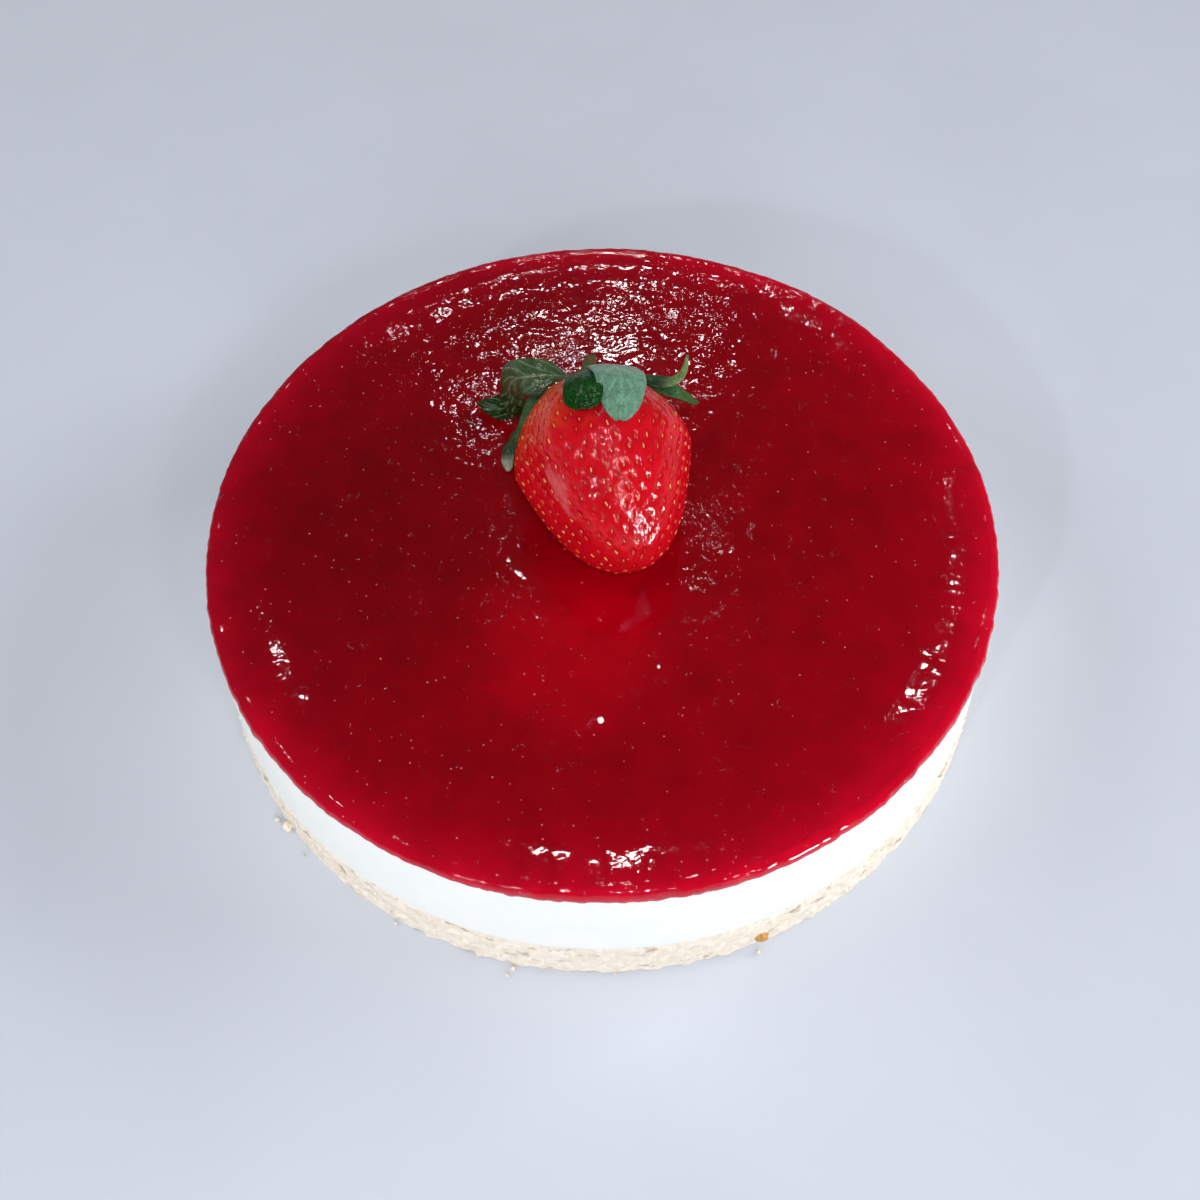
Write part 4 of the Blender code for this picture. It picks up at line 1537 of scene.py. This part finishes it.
LEAVES = (
    LeafForm(
        "leaf_front_left", LeafLook.GLOSSY.value,
        ((-0.4, 49.3, 1.5), (-0.4, 48.6, 8), (-1, 46, 14.5), (-2.6, 41, 20.5), (-4.4, 32.4, 24.2)),
        ((0, 1, 0.2), (-0.1, 0.8, 0.6), (-0.17, 0.1, 1)),
        4.9, 1.2, 12, 0.4, 0.3,
    ),
    LeafForm(
        "leaf_front_right", LeafLook.DOWNY.value,
        ((2, 49.3, 2), (4, 48.6, 8), (5.6, 46, 14.5), (6, 40, 21), (3.6, 28.2, 24.4)),
        ((0.1, 1, 0.2), (0.2, 0.8, 0.6), (0.17, 0.1, 1)),
        6.2, 0.5, 4, 0.6, 0.3,
    ),
    LeafForm(
        "leaf_right_curl", LeafLook.YOUNG.value,
        (
            (2.8, 49.6, 1.2), (8, 48.4, 3.8), (13.2, 46, 5), (18.4, 43.6, 6.6), (22, 43.8, 8.6),
            (23.4, 46, 13.6),
        ),
        ((0, 0.9, 0.5), (0.1, 0.4, 0.9), (-0.5, -0.2, 0.8)),
        1.6, 0.3, 0.8, 0.7, 0.2,
    ),
    LeafForm(
        "leaf_right_drop", LeafLook.DARK.value,
        ((2.6, 49.6, -0.6), (10, 48.2, 2), (18.7, 45, 2), (23.6, 44.2, -2), (29.3, 44.8, -12.4)),
        ((0, 1, 0.2), (0.2, 0.3, 0.9), (0.4, 0, 0.9)),
        3.1, 0.6, 2.4, 0.5, 0.3, 0.5,
    ),
    LeafForm(
        "leaf_left_large", LeafLook.GREY.value,
        (
            (-0.8, 49.8, 1.6), (-7, 49.6, 5.4), (-14.6, 50.6, 5.2), (-17.4, 53, -1.5), (-18.2, 54.4, -14),
            (-20.4, 56.4, -25), (-25.4, 61.2, -30),
        ),
        ((0, 0.95, 0.5), (-0.1, -0.3, 0.95), (-0.7, -0.4, 0.6), (-0.9, -0.5, 0.1), (-0.3, -0.3, 0.9)),
        4.4, 0.35, 3, 0.9, 1.1, 1.6,
    ),
    LeafForm(
        "leaf_left_side", LeafLook.DARK.value,
        ((-1.4, 49.6, -0.4), (-9.3, 48.8, -1), (-14.4, 48, -5), (-18.8, 41.6, -13)),
        ((0, 1, 0), (-0.4, 0.4, 0.7), (-0.8, 0.2, 0.5)),
        2.9, 0.5, 1.5, 0.5, 0.3,
    ),
    LeafForm(
        "leaf_left_low", LeafLook.PALE.value,
        ((-1.2, 49.5, -1.6), (-8, 51.5, -10), (-16, 49, -19), (-20.6, 43.6, -23), (-21.6, 38, -23)),
        ((0, 1, -0.2), (-0.5, 0.6, 0.5), (-0.3, 0.2, 0.9)),
        2.8, 0.5, 1.5, 0.5, 0.3, 0.4,
    ),
    LeafForm(
        "leaf_back_right", LeafLook.DARK.value,
        ((1.6, 49.5, -1.6), (8, 51.5, -8), (14.5, 50, -17), (19.5, 46, -24)),
        ((0, 1, 0), (0.3, 0.9, 0.2), (0.5, 0.6, 0.4)),
        4.1, 0.5, 1.8, 0.6, 0.35, 0.4,
    ),
    LeafForm(
        "leaf_back", LeafLook.GREY.value,
        ((0.3, 49.5, -2.2), (1.4, 52, -11), (0, 54, -20), (-3.5, 57, -28.5)),
        ((0, 1, -0.3), (0, 0.9, 0.3), (0, 0.4, 0.9)),
        4.3, 0.5, 1.8, 0.6, 0.35, 0.5,
    ),
)


@dataclass
class Calyx:
    """The strawberry's leaves, the disc that they grow from, and the cut stalk."""

    skin: BVHTree
    jelly_top: float
    thickness: float = 0.42 * MM
    clear: float = 0.6 * MM
    steps_across: int = 30
    steps_along: int = 84
    vein_pairs: int = 7
    stalk_route: tuple[Point, ...] = ((0.9, 49.6, 0), (1.3, 52.5, 0.1), (2.4, 55.7, 0.4))
    stalk_height: float = 6.2 * MM

    def build(self) -> None:
        """Makes the leaves, the disc and the stalk."""
        for number, form in enumerate(LEAVES):
            finish_piece(self.make_leaf(form, number), form.look)
        finish_piece(self.make_disc(), LeafLook.DARK.value, "strawberry_calyx")
        stalk = StalkFinish("cut strawberry stalk", roughness=0.6)
        finish_piece(self.make_stalk(), stalk, crease=60)

    def keep_clear(self, place: Vector) -> Vector:
        """Moves a place out of the strawberry's skin and up off the jelly, as far as a leaf needs.

        Args:
            place: the place.

        Returns:
            Its new place.
        """
        for _ in range(4):
            place.z = max(place.z, self.jelly_top + self.clear)
            found, normal, _, _ = self.skin.find_nearest(place)
            depth = self.clear - (place - found).dot(normal)
            if depth > 0:
                place = place + Vector((normal.x, normal.y, max(0, normal.z))) * depth
        return place

    def vein_strength(self, side: float, share: float) -> float:
        """How far a place is on a vein: 1 on the middle one or on a side one, 0 between them.

        Args:
            side: from -1 to 1 across the leaf.
            share: from 0 to 1 along it.

        Returns:
            The strength.
        """
        middle = bell(side, 0.06) * (1 - 0.6 * share)
        wave = math.cos(math.tau * (share * self.vein_pairs - 1.9 * abs(side)))
        branch = max(0.0, wave) ** 9 * smooth_step(0.02, 0.2, abs(side)) * smooth_step(1.05, 0.8, abs(side))
        return min(1.0, middle + 0.75 * branch)

    def make_leaf(self, form: LeafForm, number: int) -> Piece:
        """One leaf: a grid laid along its route, creased by its veins and thickened.

        Args:
            form: the leaf's form.
            number: its number, which sets its ripples.

        Returns:
            The piece.
        """
        cuts = {"x_subdivisions": self.steps_across, "y_subdivisions": self.steps_along}
        piece = added(form.name, bpy.ops.mesh.primitive_grid_add, size=2, **cuts)
        own_frame = Strawberry.matrix()
        shares: dict[str, list[float]] = {"vein": [], "along": []}
        for corner in piece.data.vertices:
            side = corner.co.x
            share = math.sin(math.pi / 4 * (corner.co.y + 1)) * 0.995
            middle, across, out = form.frame(share)
            vein = self.vein_strength(side, share)
            wave = math.sin(9.5 * share + 2.1 * number) * side + 0.6 * math.sin(17 * share + number)
            rise = form.crinkle * share * wave - form.cup * side * side * min(1, 3 * share)
            fold = noise.noise(middle * 0.33 + across * side * 1.6 + Vector((number, 0, 0)))
            rise += (0.35 * form.crinkle + form.end_crinkle * smooth_step(0.5, 0.75, share)) * fold
            rise -= 0.16 * vein
            place = (middle + across * side * form.half_width_at(side, share, number) + out * rise) * MM
            corner.co = self.keep_clear(own_frame @ place)
            shares["vein"].append(0.75 * vein)
            shares["along"].append(share)
        piece.data.update()
        write_shares(piece, **shares)
        thicken = piece.modifiers.new("thickness", "SOLIDIFY")
        thicken.thickness = self.thickness
        thicken.offset = 0
        apply_modifiers(piece)
        return piece

    def make_disc(self) -> Piece:
        """The disc that the leaves grow from.

        Returns:
            The piece.
        """
        grid = {"segments": 40, "ring_count": 16}
        piece = added("calyx_disc", bpy.ops.mesh.primitive_uv_sphere_add, radius=MM, **grid)
        with editing(piece):
            bpy.ops.transform.rotate(value=math.pi / 2, orient_axis="X", center_override=(0, 0, 0))
            bpy.ops.transform.resize(value=(4.6, 0.9, 4.6), center_override=(0, 0, 0))
            bpy.ops.transform.translate(value=(0.8 * MM, 49.4 * MM, 0))
        own_frame = Strawberry.matrix()
        move_corners(piece, lambda place: own_frame @ (place * (1 + 0.004 * noise.noise(place * 700))))
        plain = [0.0] * len(piece.data.vertices)
        write_shares(piece, vein=plain, along=plain)
        return piece

    def make_stalk(self) -> Piece:
        """The cut stalk: a ribbed tube along its route, wider at its foot, with a sunken cut.

        Returns:
            The piece.
        """
        height = self.stalk_height
        outline = [(0.0, 0.0)]
        outline += [(1.75 * (1.25 - 0.35 * ring / 20) * MM, height * ring / 20) for ring in range(21)]
        for radius, above in ((1.15, 0.12), (0.5, -0.35), (0.0, -0.45)):
            outline.append((radius * MM, height + above * MM))
        piece = turned("strawberry_stalk", outline, TurnAxis.FORWARDS, 40)
        own_frame = Strawberry.matrix()
        shares: list[float] = []
        for corner in piece.data.vertices:
            share = min(1.0, max(0.0, corner.co.y / height))
            angle = math.atan2(corner.co.x, corner.co.z)
            ribs = 1 + 0.05 * math.sin(7 * angle + 3 * share) + 0.04 * noise.noise(corner.co * per_mm(1.4))
            sunk = corner.co.y - share * height
            inside = smooth_step(1.45 * MM, 1.2 * MM, math.hypot(corner.co.x, corner.co.z))
            shares.append(0.88 * share if inside < 0.5 or share < 0.5 else 1.0)
            middle = bezier(self.stalk_route, share) * MM
            corner.co = own_frame @ (middle + Vector((corner.co.x * ribs, sunk, corner.co.z * ribs)))
        piece.data.update()
        write_shares(piece, along=shares)
        return piece


class LightPart(Enum):
    """What a light does: both, or only light the cake, or only show in its gloss."""

    BOTH = "both"
    FILL = "fill"
    GLINT = "glint"


@dataclass(frozen=True)
class SoftLight:
    """One rectangular light, aimed at the cake from a direction and a distance."""

    name: str
    azimuth: float
    elevation: float
    distance: float
    width: float
    height: float
    radiance: float
    part: LightPart = LightPart.BOTH
    aim_height: float = 40 * MM

    def build(self) -> None:
        """Puts the light up."""
        turn = math.radians(self.azimuth)
        rise = math.radians(self.elevation)
        way = Vector((math.sin(turn) * math.cos(rise), -math.cos(turn) * math.cos(rise), math.sin(rise)))
        place = Vector((0, 0, self.aim_height)) + way * self.distance
        lamp = added(self.name, bpy.ops.object.light_add, type="AREA", location=place)
        lamp.rotation_euler = way.to_track_quat("Z", "Y").to_euler()
        lamp.data.shape = "RECTANGLE"
        lamp.data.size = self.width
        lamp.data.size_y = self.height
        lamp.data.energy = self.radiance * math.pi * self.width * self.height
        lamp.visible_glossy = self.part is not LightPart.FILL
        lamp.visible_diffuse = self.part is not LightPart.GLINT


@dataclass
class Studio:
    """The pale floor, the camera, small windows behind the cake, lamps before it and panels round it."""

    camera_elevation: float = math.radians(57.766)
    camera_distance: float = 0.3437
    camera_roll: float = math.radians(-1.023)
    aim: Vector = Vector((-0.0006, 0.0020, 0))
    lens: float = 36.0
    film: float = 36.0
    sky: str = "#F4F6FF"
    sky_strength: float = 0.08
    lights: tuple[SoftLight, ...] = (
        SoftLight("window", 178.3, 43.4, 1.2, 0.05, 0.026, 65, LightPart.GLINT),
        SoftLight("window_left", 184.4, 43.8, 1.2, 0.026, 0.022, 65, LightPart.GLINT),
        SoftLight("window_far_left", 189.6, 46.3, 1.2, 0.024, 0.02, 60, LightPart.GLINT),
        SoftLight("window_right", 171.8, 43.6, 1.2, 0.02, 0.016, 60, LightPart.GLINT),
        SoftLight("window_high", 180, 54, 1.2, 0.09, 0.045, 60, LightPart.GLINT),
        SoftLight("window_near", 170, 55, 1.2, 0.011, 0.011, 60, LightPart.GLINT),
        SoftLight("low_lamp", 44, 8, 1.0, 0.15, 0.36, 62, LightPart.GLINT),
        SoftLight("lamp", 29, 36, 1.0, 0.10, 0.12, 30),
        SoftLight("top_lamp", 4, 60, 1.0, 0.06, 0.06, 176),
        SoftLight("front_lamp", -30, 30, 1.0, 0.045, 0.045, 230),
        SoftLight("front", 8, 22, 2.0, 1.0, 0.8, 5.0, LightPart.FILL),
        SoftLight("right", 102, 20, 2.2, 1.6, 1.2, 6.2, LightPart.FILL),
        SoftLight("left", -92, 32, 2.2, 1.6, 1.2, 2.9, LightPart.FILL),
        SoftLight("back", 205, 16, 2.4, 1.9, 1.0, 1.3, LightPart.FILL),
    )

    def build(self) -> None:
        """Makes the floor, the lights and the camera."""
        floor = added("floor", bpy.ops.mesh.primitive_plane_add, size=6, location=(0, 0, -0.05 * MM))
        look = PlainFinish("matt pale floor", 0.7, light="#D4DAE6", dark="#D1D7E3", grain_mm=60)
        floor.data.materials.append(look.material())
        for light in self.lights:
            light.build()
        world = bpy.data.worlds.new("studio")
        world.use_nodes = True
        sky = world.node_tree.nodes["Background"]
        sky.inputs["Color"].default_value = linear_rgba(self.sky)
        sky.inputs["Strength"].default_value = self.sky_strength
        bpy.context.scene.world = world
        bpy.context.scene.view_settings.view_transform = "Standard"
        self.make_camera()

    def make_camera(self) -> None:
        """The camera, where it looks down on the cake's front."""
        back = Vector((0, -math.cos(self.camera_elevation), math.sin(self.camera_elevation)))
        right = Vector((1, 0, 0))
        up = back.cross(right)
        turn_cos, turn_sin = math.cos(self.camera_roll), math.sin(self.camera_roll)
        level = turn_cos * right + turn_sin * up
        upright = -turn_sin * right + turn_cos * up
        camera = added("camera", bpy.ops.object.camera_add)
        placed = Matrix((level, upright, back)).transposed().to_4x4()
        placed.translation = self.aim + back * self.camera_distance
        camera.matrix_world = placed
        camera.data.sensor_width = self.film
        camera.data.lens = self.lens
        camera.data.clip_start = 1 * MM
        bpy.context.scene.camera = camera


def main() -> None:
    """Builds the studio, then the cake in it from the bottom up."""
    logging.basicConfig(level=logging.INFO, format="%(message)s")
    sizes = LayerSizes()
    Studio().build()
    BiscuitBase(sizes).build()
    CreamLayer(sizes).build()
    skin = Strawberry().build()
    JellyLayer(sizes, skin).build()
    Calyx(skin, sizes.jelly_top).build()


if __name__ == "__main__":
    main()
